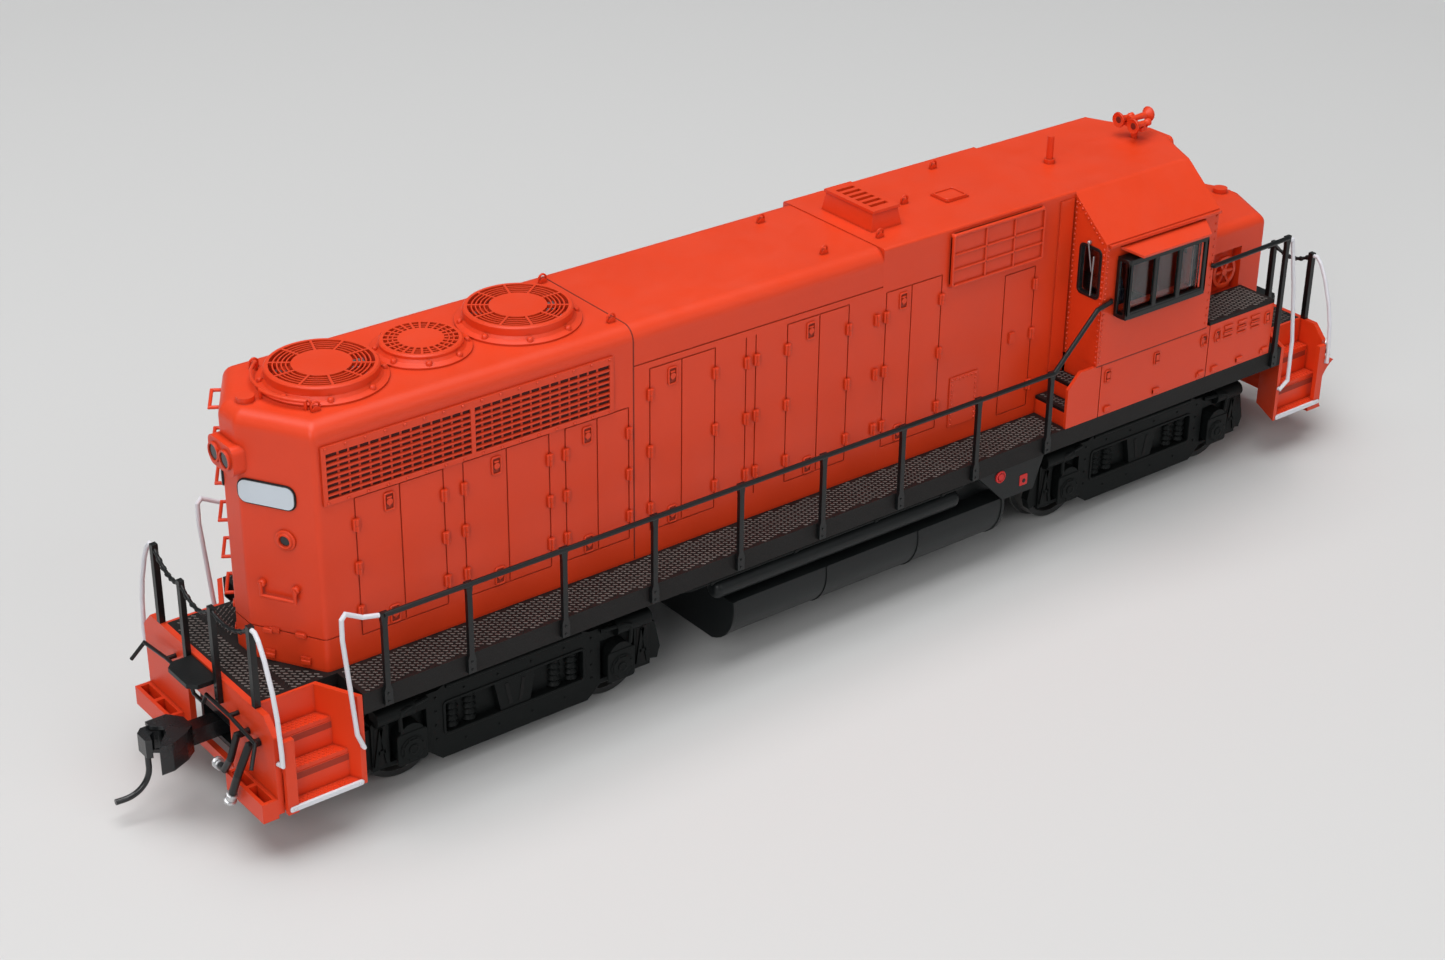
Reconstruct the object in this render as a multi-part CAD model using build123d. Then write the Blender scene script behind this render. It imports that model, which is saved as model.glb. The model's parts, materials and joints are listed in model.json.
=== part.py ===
from build123d import *
import math
import os

os.makedirs("parts", exist_ok=True)

# Model diesel road switcher, all sizes in mm. +X is the cab end, +Y the left side, +Z up.
# Z = 0 is the bottom of the wheel flanges.

# Wheels and axles
TREAD_R = 5.83
FLANGE_H = 0.6
FLANGE_R = TREAD_R + FLANGE_H
AXLE_Z = FLANGE_R
WHEEL_BACK = 7.2
WHEEL_WIDTH = 2.8
WHEEL_FACE = WHEEL_BACK + WHEEL_WIDTH
HUB_R = 2.0
RIM_T = 1.2
DISH = 0.7
AXLE_R = 1.0
JOURNAL_R = 0.9
JOURNAL_GAP = 0.08

# Trucks
HALF_CENTRES = 56.0
HALF_BASE = 15.75
FRAME_GAP = 0.7
FRAME_T = 1.8
JOURNAL_COVER = 0.6
FRAME_IN = WHEEL_FACE + FRAME_GAP
FRAME_OUT = FRAME_IN + FRAME_T
JOURNAL_TIP = FRAME_OUT - JOURNAL_COVER
FRAME_RISE = 6.67
FRAME_DROP = 3.93
FRAME_TOP = AXLE_Z + FRAME_RISE
FRAME_BOTTOM = AXLE_Z - FRAME_DROP
TRUCK_OVERHANG = 5.2
HANGER_REACH = 1.9
TRUCK_HALF = HALF_BASE + TRUCK_OVERHANG
TRUCK_REACH = TRUCK_HALF + HANGER_REACH
TRUCK_CLEAR = 1.35
BOLSTER_GAP = 2.1
BOLSTER_HALF = HALF_BASE - FLANGE_R - BOLSTER_GAP
BOLSTER_RISE = 0.3
PIVOT_R = 1.6
PIVOT_GAP = 0.1
PIVOT_LENGTH = 4.2
PAD_R = 3.6
PAD_GAP = 0.3
SILL_CLEAR = 3.4

# Underframe, end platforms and steps
SILL_BOTTOM = FRAME_TOP + SILL_CLEAR
SILL_H = 2.84
DECK = SILL_BOTTOM + SILL_H
SILL_HALF = 17.09
SILL_END = HALF_CENTRES + TRUCK_REACH + TRUCK_CLEAR
PLATFORM_HALF = 11.2
PLATFORM_LENGTH = 10.8
PLATFORM_T = 1.74
PLATFORM_BOTTOM = DECK - PLATFORM_T
PLATE_T = 0.8
PLATE_IN = SILL_END + PLATFORM_LENGTH
PLATE_OUT = PLATE_IN + PLATE_T
PLATE_INSET = 0.9
PLATE_HALF = SILL_HALF - PLATE_INSET
STEPS = 3
STEP_RISE = 3.9
STEP_T = 0.6
PILOT_DROP = 13.3
PILOT_BOTTOM = DECK - PILOT_DROP

# Hood
HOOD_HALF = 10.56
HOOD_WALL = 1.3
HOOD_H = 32.66
ROOF = DECK + HOOD_H
SHOULDER_R = 1.9
HOOD_OVERHANG = 0.8
HOOD_CORNER = -SILL_END - HOOD_OVERHANG
HOOD_PROW = 5.3
HOOD_REAR = HOOD_CORNER - HOOD_PROW
HOOD_REAR_FLAT = 1.8
RADIATOR_LENGTH = 45.0
SEAM_RADIATOR = HOOD_CORNER + RADIATOR_LENGTH

# Nose, cab and blower section, measured back from the front end
NOSE_OVERHANG = 1.2
NOSE_CORNER = SILL_END + NOSE_OVERHANG
NOSE_PROW = 4.0
NOSE_TIP = NOSE_CORNER + NOSE_PROW
NOSE_FLAT = 1.6
NOSE_HALF = 10.3
NOSE_H = 19.2
NOSE_TOP = DECK + NOSE_H
NOSE_SHOULDER_R = 1.5
NOSE_LENGTH = 18.8
CAB_FRONT = NOSE_CORNER - NOSE_LENGTH
CAB_LENGTH = 22.7
CAB_REAR = CAB_FRONT - CAB_LENGTH
CAB_OVERHANG = 0.06
CAB_HALF = SILL_HALF + CAB_OVERHANG
CAB_WALL = 1.0
CAB_FLOOR = DECK + 8.26
CAB_H = 24.25
CAB_ROOF = CAB_FLOOR + CAB_H
EAVE_DROP = 5.6
EAVE = CAB_ROOF - EAVE_DROP
RIDGE_Y = 10.4
RIDGE_R = 1.0
WINDSHIELD_OUT = 0.5
WINDSHIELD_PROW = 3.5
WINDSHIELD_CORNER = CAB_FRONT + WINDSHIELD_OUT
WINDSHIELD_TIP = WINDSHIELD_CORNER + WINDSHIELD_PROW
WINDSHIELD_HALF = RIDGE_Y - 0.4
WINDSHIELD_FLAT = 2.5
BLOWER_LENGTH = 35.1
SEAM_BLOWER = CAB_REAR - BLOWER_LENGTH
BLOWER_STEP = 0.15
BLOWER_ROOF = ROOF + BLOWER_STEP

# Equipment boxes and cab steps
BOX_FRONT = SILL_END - 2.9
BOX_SEAM = CAB_FRONT + 0.7
STEP_PLATE = 2.5
STEP_LOW = CAB_REAR - 2 * STEP_PLATE
BOX_REAR = STEP_LOW - 0.2
BOX_IN = HOOD_HALF + 0.44
PANEL_T = 0.5
TREAD_T = 0.5
STEP_Z = [DECK + 2.76, DECK + 5.36]

# Bay windows
BAY_X0 = CAB_REAR + 2.4
BAY_LENGTH = 16.1
BAY_X1 = BAY_X0 + BAY_LENGTH
BAY_Z1 = EAVE - 2.25
BAY_H = 9.1
BAY_Z0 = BAY_Z1 - BAY_H
BAY_DEPTH = 2.4
BAY_WALL = 0.7

# Couplers
COUPLER_DROP = 8.82
COUPLER_Z = DECK - COUPLER_DROP
COUPLER_PIVOT = SILL_END + 1.8
COUPLER_REACH = 8.6
COUPLER_FACE = PLATE_OUT + COUPLER_REACH
COUPLER_SWING = 10
HEAD_HALF = 3.4
HEAD_H = 3.8
KNUCKLE_X = COUPLER_FACE - 2.6
KNUCKLE_Y = -2.0
SHANK_HALF = 1.1
SHANK_H = 2.2


def block(x0, x1, y0, y1, z0, z1):
    return Pos((x0 + x1) / 2, (y0 + y1) / 2, (z0 + z1) / 2) * Box(x1 - x0, y1 - y0, z1 - z0)


def disc(x, y, z, radius, height):
    return Pos(x, y, z) * Cylinder(radius, height, align=(Align.CENTER, Align.CENTER, Align.MIN))


def prism(points, z0, z1):
    face = make_face(Polyline(*[(x, y, z0) for x, y in points], close=True))
    return extrude(face, amount=z1 - z0, dir=(0, 0, 1))


def along_x(points, x0, x1):
    face = make_face(Polyline(*[(x0, y, z) for y, z in points], close=True))
    return extrude(face, amount=x1 - x0, dir=(1, 0, 0))


def along_y(points, y0, y1):
    face = make_face(Polyline(*[(x, y0, z) for x, z in points], close=True))
    return extrude(face, amount=y1 - y0, dir=(0, 1, 0))


def rod(start, end, radius):
    start = Vector(*start)
    end = Vector(*end)
    plane = Plane(origin=start, z_dir=(end - start).normalized())
    return extrude(plane * Circle(radius), amount=(end - start).length)


def pipe(points, radius):
    path = Polyline(*points)
    plane = Plane(origin=points[0], z_dir=path % 0)
    return sweep(plane * Circle(radius), path=path, transition=Transition.RIGHT)


def joined(shapes):
    shapes = list(shapes)
    return shapes[0].fuse(*shapes[1:]) if len(shapes) > 1 else shapes[0]


def group(shapes):
    solids = [s for shape in shapes for s in shape.solids()]
    return Compound(children=solids)


def flip_y(shape):
    return mirror(shape, about=Plane.XZ)


def both_sides(shapes):
    shapes = list(shapes)
    return shapes + [flip_y(s) for s in shapes]


def turn(shape):
    return Rot(0, 0, 180) * shape


def save(shape, node):
    export_step(shape, "parts/" + node + ".step")


# Plan of a body with one V-shaped end: straight back, corners at the sides, a narrow flat tip
def v_plan(back, corner, tip, half, flat, inset=0.0):
    way = 1 if tip > corner else -1
    slope = (tip - corner) / (half - flat)
    lean = math.hypot(1, slope)
    x_corner = corner + slope * inset - way * inset * lean
    x_tip = tip - way * inset
    y_side = half - inset
    y_tip = half - (x_tip - corner + way * inset * lean) / slope
    right = [(back, -y_side), (x_corner, -y_side), (x_tip, -y_tip)]
    return right + [(x, -y) for x, y in reversed(right)]


# Origin, along and out directions of the right slanted face of a V-shaped end, from the tip
def v_face(corner, tip, half, flat):
    start = Vector(tip, -flat, 0)
    along = (Vector(corner, -half, 0) - start).normalized()
    out = Vector(along.Y, -along.X, 0)
    if out.X * (tip - corner) < 0:
        out = out * -1
    return start, along, out


# Wheelsets: axle and two wheels, turned about the axle line
def wheelset(x):
    half = [
        (WHEEL_BACK - 0.5, AXLE_R),
        (WHEEL_BACK - 0.4, HUB_R),
        (WHEEL_BACK, HUB_R),
        (WHEEL_BACK, FLANGE_R - 0.25),
        (WHEEL_BACK + 0.25, FLANGE_R),
        (WHEEL_BACK + 0.55, FLANGE_R - 0.1),
        (WHEEL_BACK + 0.85, TREAD_R + 0.05),
        (WHEEL_FACE, TREAD_R - 0.1),
        (WHEEL_FACE, TREAD_R - RIM_T + 0.3),
        (WHEEL_FACE - DISH, TREAD_R - RIM_T),
        (WHEEL_FACE - DISH, HUB_R + 0.2),
        (WHEEL_FACE, HUB_R - 0.1),
        (WHEEL_FACE, JOURNAL_R),
        (JOURNAL_TIP - 0.3, JOURNAL_R),
        (JOURNAL_TIP, JOURNAL_R - 0.4),
        (JOURNAL_TIP, 0),
    ]
    outline = [(-y, r) for y, r in reversed(half)] + half
    wire = Polyline(*[(0, y, r) for y, r in outline], close=True)
    return Pos(x, 0, AXLE_Z) * revolve(make_face(wire), axis=Axis.Y)


AXLES = {
    "wheelset_1": HALF_CENTRES + HALF_BASE,
    "wheelset_2": HALF_CENTRES - HALF_BASE,
    "wheelset_3": -HALF_CENTRES + HALF_BASE,
    "wheelset_4": -HALF_CENTRES - HALF_BASE,
}
for node, x in AXLES.items():
    save(wheelset(x), node)


# Truck side frames: window with coil springs, pedestals with journal boxes, brake gear
WINDOW_HALF = HALF_BASE - 5.45
WINDOW_Z0 = AXLE_Z - 0.33
WINDOW_Z1 = AXLE_Z + 3.87
WINDOW_DEPTH = 1.0
BELLY_HALF = HALF_BASE - 4.75
SIDE_LOW = AXLE_Z - 2.03
SIDE_HIGH = FRAME_TOP - 0.5
PEDESTAL_HALF = 2.7
PEDESTAL_Z0 = AXLE_Z - 1.5
PEDESTAL_Z1 = AXLE_Z + 4.2
JOURNAL_BOX_HALF = 1.9
JOURNAL_BOX_PROUD = 0.9
JOURNAL_END_GAP = 0.2
CAP_R = 1.4
CAP_PROUD = 0.35
SPRING_R = 0.95
SPRING_GROOVE = 0.3
COILS = 5
CYLINDER_R = 1.1


def spring(x):
    z0 = WINDOW_Z0 - 0.1
    step = (WINDOW_Z1 + 0.1 - z0) / COILS
    edge = [(0, z0)]
    for i in range(COILS):
        edge.append((SPRING_R - SPRING_GROOVE, z0 + step * i))
        edge.append((SPRING_R, z0 + step * (i + 0.5)))
    edge.append((SPRING_R - SPRING_GROOVE, z0 + step * COILS))
    edge.append((0, z0 + step * COILS))
    wire = Polyline(*[(r, 0, z) for r, z in edge], close=True)
    return Pos(x, -FRAME_OUT + WINDOW_DEPTH, 0) * revolve(make_face(wire), axis=Axis.Z)


def journal_box(x):
    half = JOURNAL_BOX_HALF
    y = -FRAME_OUT - JOURNAL_BOX_PROUD
    spring_line = AXLE_Z + 1.6
    low = PEDESTAL_Z0 + 0.2
    arch = ThreePointArc((x - half, y, spring_line), (x, y, spring_line + half), (x + half, y, spring_line))
    rest = Polyline(
        (x + half, y, spring_line), (x + half, y, low), (x - half, y, low), (x - half, y, spring_line)
    )
    box = extrude(make_face([arch, rest]), amount=JOURNAL_BOX_PROUD + WINDOW_DEPTH, dir=(0, 1, 0))
    return box + rod((x, y - CAP_PROUD, AXLE_Z), (x, y, AXLE_Z), CAP_R)


def brake_gear(way):
    z = SIDE_HIGH - 0.6
    y = -FRAME_OUT - 0.1
    cylinder = rod((way * (HALF_BASE - 0.6), y, z), (way * (TRUCK_HALF - 0.4), y, z), CYLINDER_R)
    x0 = TRUCK_HALF - 0.3
    hanger = [
        (x0, AXLE_Z + 4.2),
        (TRUCK_REACH - 0.9, AXLE_Z + 3.9),
        (TRUCK_REACH, AXLE_Z - 0.2),
        (TRUCK_REACH - 0.5, AXLE_Z - 1.8),
        (x0, AXLE_Z - 1.4),
    ]
    return [cylinder, along_y([(way * x, z) for x, z in hanger], -FRAME_OUT + 0.3, -FRAME_IN - 0.3)]


def side_frame():
    half = [
        (BELLY_HALF, FRAME_BOTTOM),
        (BELLY_HALF + 2.2, SIDE_LOW),
        (TRUCK_HALF, SIDE_LOW),
        (TRUCK_HALF, SIDE_HIGH - 1.5),
        (TRUCK_HALF - 1.4, SIDE_HIGH),
        (WINDOW_HALF + 1.1, SIDE_HIGH),
        (WINDOW_HALF, FRAME_TOP),
    ]
    outline = half + [(-x, z) for x, z in reversed(half)]
    side = along_y(outline, -FRAME_OUT, -FRAME_IN)
    floor = -FRAME_OUT + WINDOW_DEPTH
    side -= block(-WINDOW_HALF, WINDOW_HALF, -FRAME_OUT, floor, WINDOW_Z0, WINDOW_Z1)
    bracket = [(-3.1, WINDOW_Z1), (-2.2, WINDOW_Z0), (2.2, WINDOW_Z0), (3.1, WINDOW_Z1)]
    pieces = [along_y(bracket, -FRAME_OUT, floor)]
    for way in (-1, 1):
        x = way * HALF_BASE
        side -= block(x - PEDESTAL_HALF, x + PEDESTAL_HALF, -FRAME_OUT, floor, PEDESTAL_Z0, PEDESTAL_Z1)
        pieces.append(journal_box(x))
        pieces += brake_gear(way)
        pieces += [spring(way * (WINDOW_HALF - inset)) for inset in (1.3, 3.9)]
    side = joined([side] + pieces)
    for way in (-1, 1):
        x = way * HALF_BASE
        start = (x, -JOURNAL_TIP - JOURNAL_END_GAP, AXLE_Z)
        side -= rod(start, (x, -FRAME_IN + 1, AXLE_Z), JOURNAL_R + JOURNAL_GAP)
    return side


# Truck frames: bolster, pivot pad and two side frames
def truck():
    top = FRAME_TOP + BOLSTER_RISE
    bolster = block(-BOLSTER_HALF, BOLSTER_HALF, -FRAME_IN, FRAME_IN, SIDE_LOW + 0.2, top)
    pad = disc(0, 0, top, PAD_R, SILL_BOTTOM - PAD_GAP - top)
    side = side_frame()
    body = joined([bolster, pad, side, flip_y(side)])
    floor = SILL_BOTTOM - PIVOT_LENGTH - 0.4
    return body - disc(0, 0, floor, PIVOT_R + PIVOT_GAP, SILL_BOTTOM - floor)


frame = truck()
save(Pos(HALF_CENTRES, 0, 0) * frame, "truck_frame_front")
save(Pos(-HALF_CENTRES, 0, 0) * turn(frame), "truck_frame_rear")


# Underframe: walkway slab with side sills, end platforms and truck pivot pins
def underframe():
    slab = block(-SILL_END, SILL_END, -SILL_HALF, SILL_HALF, SILL_BOTTOM, DECK)
    ends = block(-PLATE_IN, PLATE_IN, -PLATFORM_HALF, PLATFORM_HALF, PLATFORM_BOTTOM, DECK)
    shape = slab + ends
    for way in (-1, 1):
        shape += disc(way * HALF_CENTRES, 0, SILL_BOTTOM - PIVOT_LENGTH, PIVOT_R, PIVOT_LENGTH + 0.5)
    return shape


save(underframe(), "underframe")


# Pilots: end plate, step wells with treads and risers, coupler opening
POCKET_HALF = 5.3
POCKET_Z0 = COUPLER_Z - 3.1
POCKET_Z1 = COUPLER_Z + 3.7
WELL_BACK = SILL_END + 0.1
WELL_SLANT = 2.9
WELL_WALL = 0.7
WELL_BOTTOM = PILOT_BOTTOM + 0.9
TREAD_LAP = 0.3


def well_x(y):
    share = (SILL_HALF - abs(y)) / (SILL_HALF - PLATFORM_HALF)
    return WELL_BACK + WELL_SLANT * share


def step_well():
    ya = -PLATFORM_HALF
    yb = -SILL_HALF
    xa = well_x(ya)
    xb = well_x(yb)
    wall = [(xa, ya), (xb, yb), (xb + WELL_WALL, yb), (xa + WELL_WALL, ya)]
    parts = [prism(wall, WELL_BOTTOM, DECK)]
    side = block(PLATE_IN - 1.4, PLATE_IN, yb, yb + WELL_WALL, PILOT_BOTTOM + 0.6, DECK - 2.5)
    parts.append(side)
    run = (SILL_HALF - PLATFORM_HALF) / STEPS
    rise = DECK
    for i in range(STEPS):
        top = DECK - STEP_RISE * (i + 1)
        y_in = ya - run * i
        y_out = max(y_in - run - TREAD_LAP, yb)
        tread = [(well_x(y_in), y_in), (well_x(y_out), y_out), (PLATE_IN, y_out), (PLATE_IN, y_in)]
        parts.append(prism(tread, top - STEP_T, top))
        back = well_x(y_in) + 0.2
        riser_top = DECK if i == 0 else rise - STEP_T
        parts.append(block(back, PLATE_IN, y_in - 0.4, y_in, top - STEP_T, riser_top))
        rise = top
    return joined(parts)


def pilot():
    half = PLATE_HALF
    plate = [
        (-half, PILOT_BOTTOM + 0.6),
        (-half + 1.0, PILOT_BOTTOM),
        (half - 1.0, PILOT_BOTTOM),
        (half, PILOT_BOTTOM + 0.6),
        (half, DECK - 2.1),
        (half - 2.0, DECK),
        (-half + 2.0, DECK),
        (-half, DECK - 2.1),
    ]
    shape = along_x(plate, PLATE_IN, PLATE_OUT)
    shape -= block(PLATE_IN - 1, PLATE_OUT + 1, -POCKET_HALF, POCKET_HALF, POCKET_Z0, POCKET_Z1)
    well = step_well()
    return joined([shape, well, flip_y(well)])


# Footboards on the rear pilot: a shallow tray on each side with two long slots
BOARD_IN = 7.3
BOARD_DEPTH = 2.1
BOARD_Z0 = PILOT_BOTTOM + 0.1
BOARD_H = 2.6


def footboard():
    y0 = -PLATE_HALF
    y1 = -BOARD_IN
    x1 = PLATE_OUT + BOARD_DEPTH
    tray = block(PLATE_OUT, x1, y0, y1, BOARD_Z0, BOARD_Z0 + BOARD_H)
    middle = (y0 + y1) / 2
    for a, b in ((y0 + 0.5, middle - 0.3), (middle + 0.3, y1 - 0.5)):
        tray -= block(PLATE_OUT + 0.5, x1 - 0.5, a, b, BOARD_Z0 + 1.0, BOARD_Z0 + BOARD_H + 1)
    return tray


save(pilot(), "front_pilot")
save(turn(joined([pilot()] + both_sides([footboard()]))), "rear_pilot")


# Plow: a curved blade on the front pilot, notched for the swing of the coupler
PLOW_HALF = SILL_HALF - 2.6
PLOW_BOTTOM = PILOT_BOTTOM - 1.9
PLOW_TOP = PILOT_BOTTOM + 6.5
PLOW_REACH = 4.8
PLOW_CURL = 0.7
NOTCH_GAP = 0.7


def plow():
    half = PLOW_HALF
    toe = (PLATE_OUT + 3.0, half, PLOW_BOTTOM)
    hollow = (PLATE_OUT + 2.1, half, PLOW_BOTTOM + 3.5)
    lip = (PLATE_OUT + PLOW_REACH, half, PLOW_TOP - PLOW_CURL)
    curve = ThreePointArc(toe, hollow, lip)
    rest = Polyline(lip, (PLATE_OUT, half, PLOW_TOP), (PLATE_OUT, half, PLOW_BOTTOM), toe)
    blade = extrude(make_face([curve, rest]), amount=2 * half, dir=(0, -1, 0))
    reach = PLATE_OUT + PLOW_REACH - COUPLER_PIVOT
    notch = reach * math.sin(math.radians(COUPLER_SWING)) + HEAD_HALF + NOTCH_GAP
    x1 = PLATE_OUT + PLOW_REACH + 2
    return blade - block(PLATE_OUT - 1, x1, -notch, notch, POCKET_Z0 - 0.2, PLOW_TOP + 5)


save(plow(), "plow")


# Hood skin: seams cut into it, hinges and latches standing on it, all on the right side
SEAM_W = 0.2
SEAM_DEPTH = 0.15
HINGE_W = 0.6
HINGE_H = 1.2
HINGE_PROUD = 0.25
LATCH_R = 0.42
LATCH_BACK = 1.5
EYE_R = 0.55
DOOR_BOTTOM = DECK + 3.5
LOW_DOOR_TOP = DECK + 22.06
HIGH_DOOR_TOP = DECK + 26.46


def upright_seam(x, z0, z1):
    return block(x - SEAM_W / 2, x + SEAM_W / 2, -HOOD_HALF - 1, -HOOD_HALF + SEAM_DEPTH, z0, z1)


def level_seam(x0, x1, z):
    return block(x0, x1, -HOOD_HALF - 1, -HOOD_HALF + SEAM_DEPTH, z - SEAM_W / 2, z + SEAM_W / 2)


def raised(x0, x1, z0, z1, proud):
    return block(x0, x1, -HOOD_HALF - proud, -HOOD_HALF + 0.1, z0, z1)


def latch(x, z):
    return rod((x, -HOOD_HALF - HINGE_PROUD, z), (x, -HOOD_HALF + 0.1, z), LATCH_R)


def roof_eye(x, y, roof):
    return rod((x, y - 0.25, roof + 0.15), (x, y + 0.25, roof + 0.15), EYE_R)


# Pairs of doors, from the start of a section: hinge line, meeting line, hinge line
RADIATOR_DOORS = [(4.9, 11.0, 17.0), (19.8, 26.0, 32.2), (34.6, 39.4, 44.2)]
ENGINE_DOORS = [(2.5, 7.5, 12.8), (24.6, 30.0, 35.0)]
BLOWER_DOORS = [(0.7, 5.2, 10.6)]


def door_seams(start, rows, top):
    seams = []
    for row in rows:
        a, middle, b = [start + x for x in row]
        seams += [upright_seam(x, DOOR_BOTTOM, top) for x in (a, middle, b)]
        seams += [level_seam(a, b, z) for z in (DOOR_BOTTOM, top)]
    return both_sides(seams)


def door_fittings(start, rows, top):
    fittings = []
    for row in rows:
        a, middle, b = [start + x for x in row]
        for z in (DOOR_BOTTOM + 3.3, (DOOR_BOTTOM + top) / 2, top - 3.5):
            for x in (a, b):
                x0 = x - HINGE_W / 2
                z0 = z - HINGE_H / 2
                fittings.append(raised(x0, x0 + HINGE_W, z0, z0 + HINGE_H, HINGE_PROUD))
        fittings += [latch(middle - LATCH_BACK, z) for z in (DOOR_BOTTOM + 1.4, top - 1.9)]
    return both_sides(fittings)


# Radiator section: V-shaped rear end, louvre openings, roof eyes, sand cap, marker lamp rings
LOUVRE_X0 = HOOD_CORNER + 1.1
LOUVRE_LENGTH = 40.4
LOUVRE_X1 = LOUVRE_X0 + LOUVRE_LENGTH
LOUVRE_Z1 = ROOF - 3.5
LOUVRE_H = 6.4
LOUVRE_Z0 = LOUVRE_Z1 - LOUVRE_H
LOUVRE_DEPTH = 0.8
MARKER_S = 5.8
MARKER_Z = ROOF - 15.5
MARKER_R = 1.05
MARKER_LENS_R = 0.6
MARKER_PROUD = 0.4
BOTTOM_SEAM = DECK + 4.46
CAP_HEIGHT = 0.7


def hood_plan(inset):
    return v_plan(SEAM_RADIATOR, HOOD_CORNER, HOOD_REAR, HOOD_HALF, HOOD_REAR_FLAT, inset)


def radiator_skin():
    shell = prism(hood_plan(0), DECK, ROOF)
    uprights = [e for e in shell.edges().filter_by(Axis.Z) if e.center().X < SEAM_RADIATOR - 1]
    shell = fillet(uprights, 0.9)
    top = [e for e in shell.edges().group_by(Axis.Z)[-1] if e.center().X < SEAM_RADIATOR - 0.01]
    return fillet(top, SHOULDER_R)


rear_start, rear_along, rear_out = v_face(HOOD_CORNER, HOOD_REAR, HOOD_HALF, HOOD_REAR_FLAT)


def rear_plane(s, z, out=0.0):
    origin = rear_start + rear_along * s + rear_out * out + Vector(0, 0, z)
    return Plane(origin=origin, x_dir=rear_along, z_dir=rear_out)


def marker_ring():
    ring = extrude(rear_plane(MARKER_S, MARKER_Z, -0.1) * Circle(MARKER_R), amount=MARKER_PROUD + 0.1)
    return ring - extrude(rear_plane(MARKER_S, MARKER_Z) * Circle(MARKER_LENS_R + 0.1), amount=1)


def hood_radiator(skin):
    cuts = [prism(hood_plan(HOOD_WALL), DECK - 1, ROOF - HOOD_WALL)]
    y0 = -HOOD_HALF - 1
    y1 = -HOOD_HALF + LOUVRE_DEPTH
    cuts += both_sides([block(LOUVRE_X0, LOUVRE_X1, y0, y1, LOUVRE_Z0, LOUVRE_Z1)])
    cuts += door_seams(HOOD_CORNER, RADIATOR_DOORS, LOW_DOOR_TOP)
    end_seam = prism(hood_plan(-1), BOTTOM_SEAM - SEAM_W / 2, BOTTOM_SEAM + SEAM_W / 2)
    end_seam -= prism(hood_plan(SEAM_DEPTH), BOTTOM_SEAM - 1, BOTTOM_SEAM + 1)
    end_seam &= block(HOOD_REAR - 5, HOOD_CORNER + 2.0, -20, 20, BOTTOM_SEAM - 1, BOTTOM_SEAM + 1)
    cuts += end_seam.solids()
    shell = skin.cut(*cuts)
    adds = door_fittings(HOOD_CORNER, RADIATOR_DOORS, LOW_DOOR_TOP)
    adds += both_sides([marker_ring()])
    for s, z in ((3.4, BOTTOM_SEAM), (7.0, BOTTOM_SEAM), (2.6, DECK + 1.3), (7.4, DECK + 1.3)):
        plate = extrude(rear_plane(s, z, -0.1) * Rectangle(1.3, 0.6), amount=HINGE_PROUD + 0.1)
        adds += both_sides([plate])
    adds += both_sides([roof_eye(HOOD_CORNER + 2.5, -7.2, ROOF), roof_eye(SEAM_RADIATOR - 1.1, -7.45, ROOF)])
    adds.append(disc(HOOD_CORNER - 2.6, 0, ROOF - 0.1, 1.1, CAP_HEIGHT + 0.1))
    return joined([shell] + adds)


# Engine section: rounded shoulders, open at both ends
def hood_engine():
    shell = block(SEAM_RADIATOR, SEAM_BLOWER, -HOOD_HALF, HOOD_HALF, DECK, ROOF)
    top = shell.edges().filter_by(Axis.X).group_by(Axis.Z)[-1]
    shell = fillet(top, SHOULDER_R)
    inner = HOOD_HALF - HOOD_WALL
    cuts = [block(SEAM_RADIATOR - 1, SEAM_BLOWER + 1, -inner, inner, DECK - 1, ROOF - HOOD_WALL)]
    cuts += door_seams(SEAM_RADIATOR, ENGINE_DOORS, HIGH_DOOR_TOP)
    cuts += both_sides([level_seam(SEAM_RADIATOR - 1, SEAM_BLOWER + 1, HIGH_DOOR_TOP + 1.0)])
    cuts += both_sides([upright_seam(SEAM_RADIATOR + x, DOOR_BOTTOM, HIGH_DOOR_TOP) for x in (17.8, 19.4)])
    shell = shell.cut(*cuts)
    adds = door_fittings(SEAM_RADIATOR, ENGINE_DOORS, HIGH_DOOR_TOP)
    adds += both_sides([roof_eye(SEAM_BLOWER - 7.1, -6.6, ROOF)])
    return joined([shell] + adds)


# Blower section: square edged roof, filter screens, access plate, door and hatch
FILTER_X = [SEAM_BLOWER + 11.9, SEAM_BLOWER + 17.9, SEAM_BLOWER + 23.2, SEAM_BLOWER + 28.7]
FILTER_Z = [BLOWER_ROOF - 8.25, BLOWER_ROOF - 5.95, BLOWER_ROOF - 3.75, BLOWER_ROOF - 0.85]
FILTER_DEPTH = 0.45
FILTER_BAR = 0.4
HATCH = (17.5, 21.5, -3.4, 0.0)
HATCH_H = 0.3


def filter_frame():
    y0 = -HOOD_HALF - 0.1
    y1 = -HOOD_HALF + FILTER_DEPTH + 0.1
    half = FILTER_BAR / 2
    bars = [block(x - half, x + half, y0, y1, FILTER_Z[0], FILTER_Z[-1]) for x in FILTER_X]
    bars += [block(FILTER_X[0] - half, FILTER_X[-1] + half, y0, y1, z - half, z + half) for z in FILTER_Z]
    return joined(bars)


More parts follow.
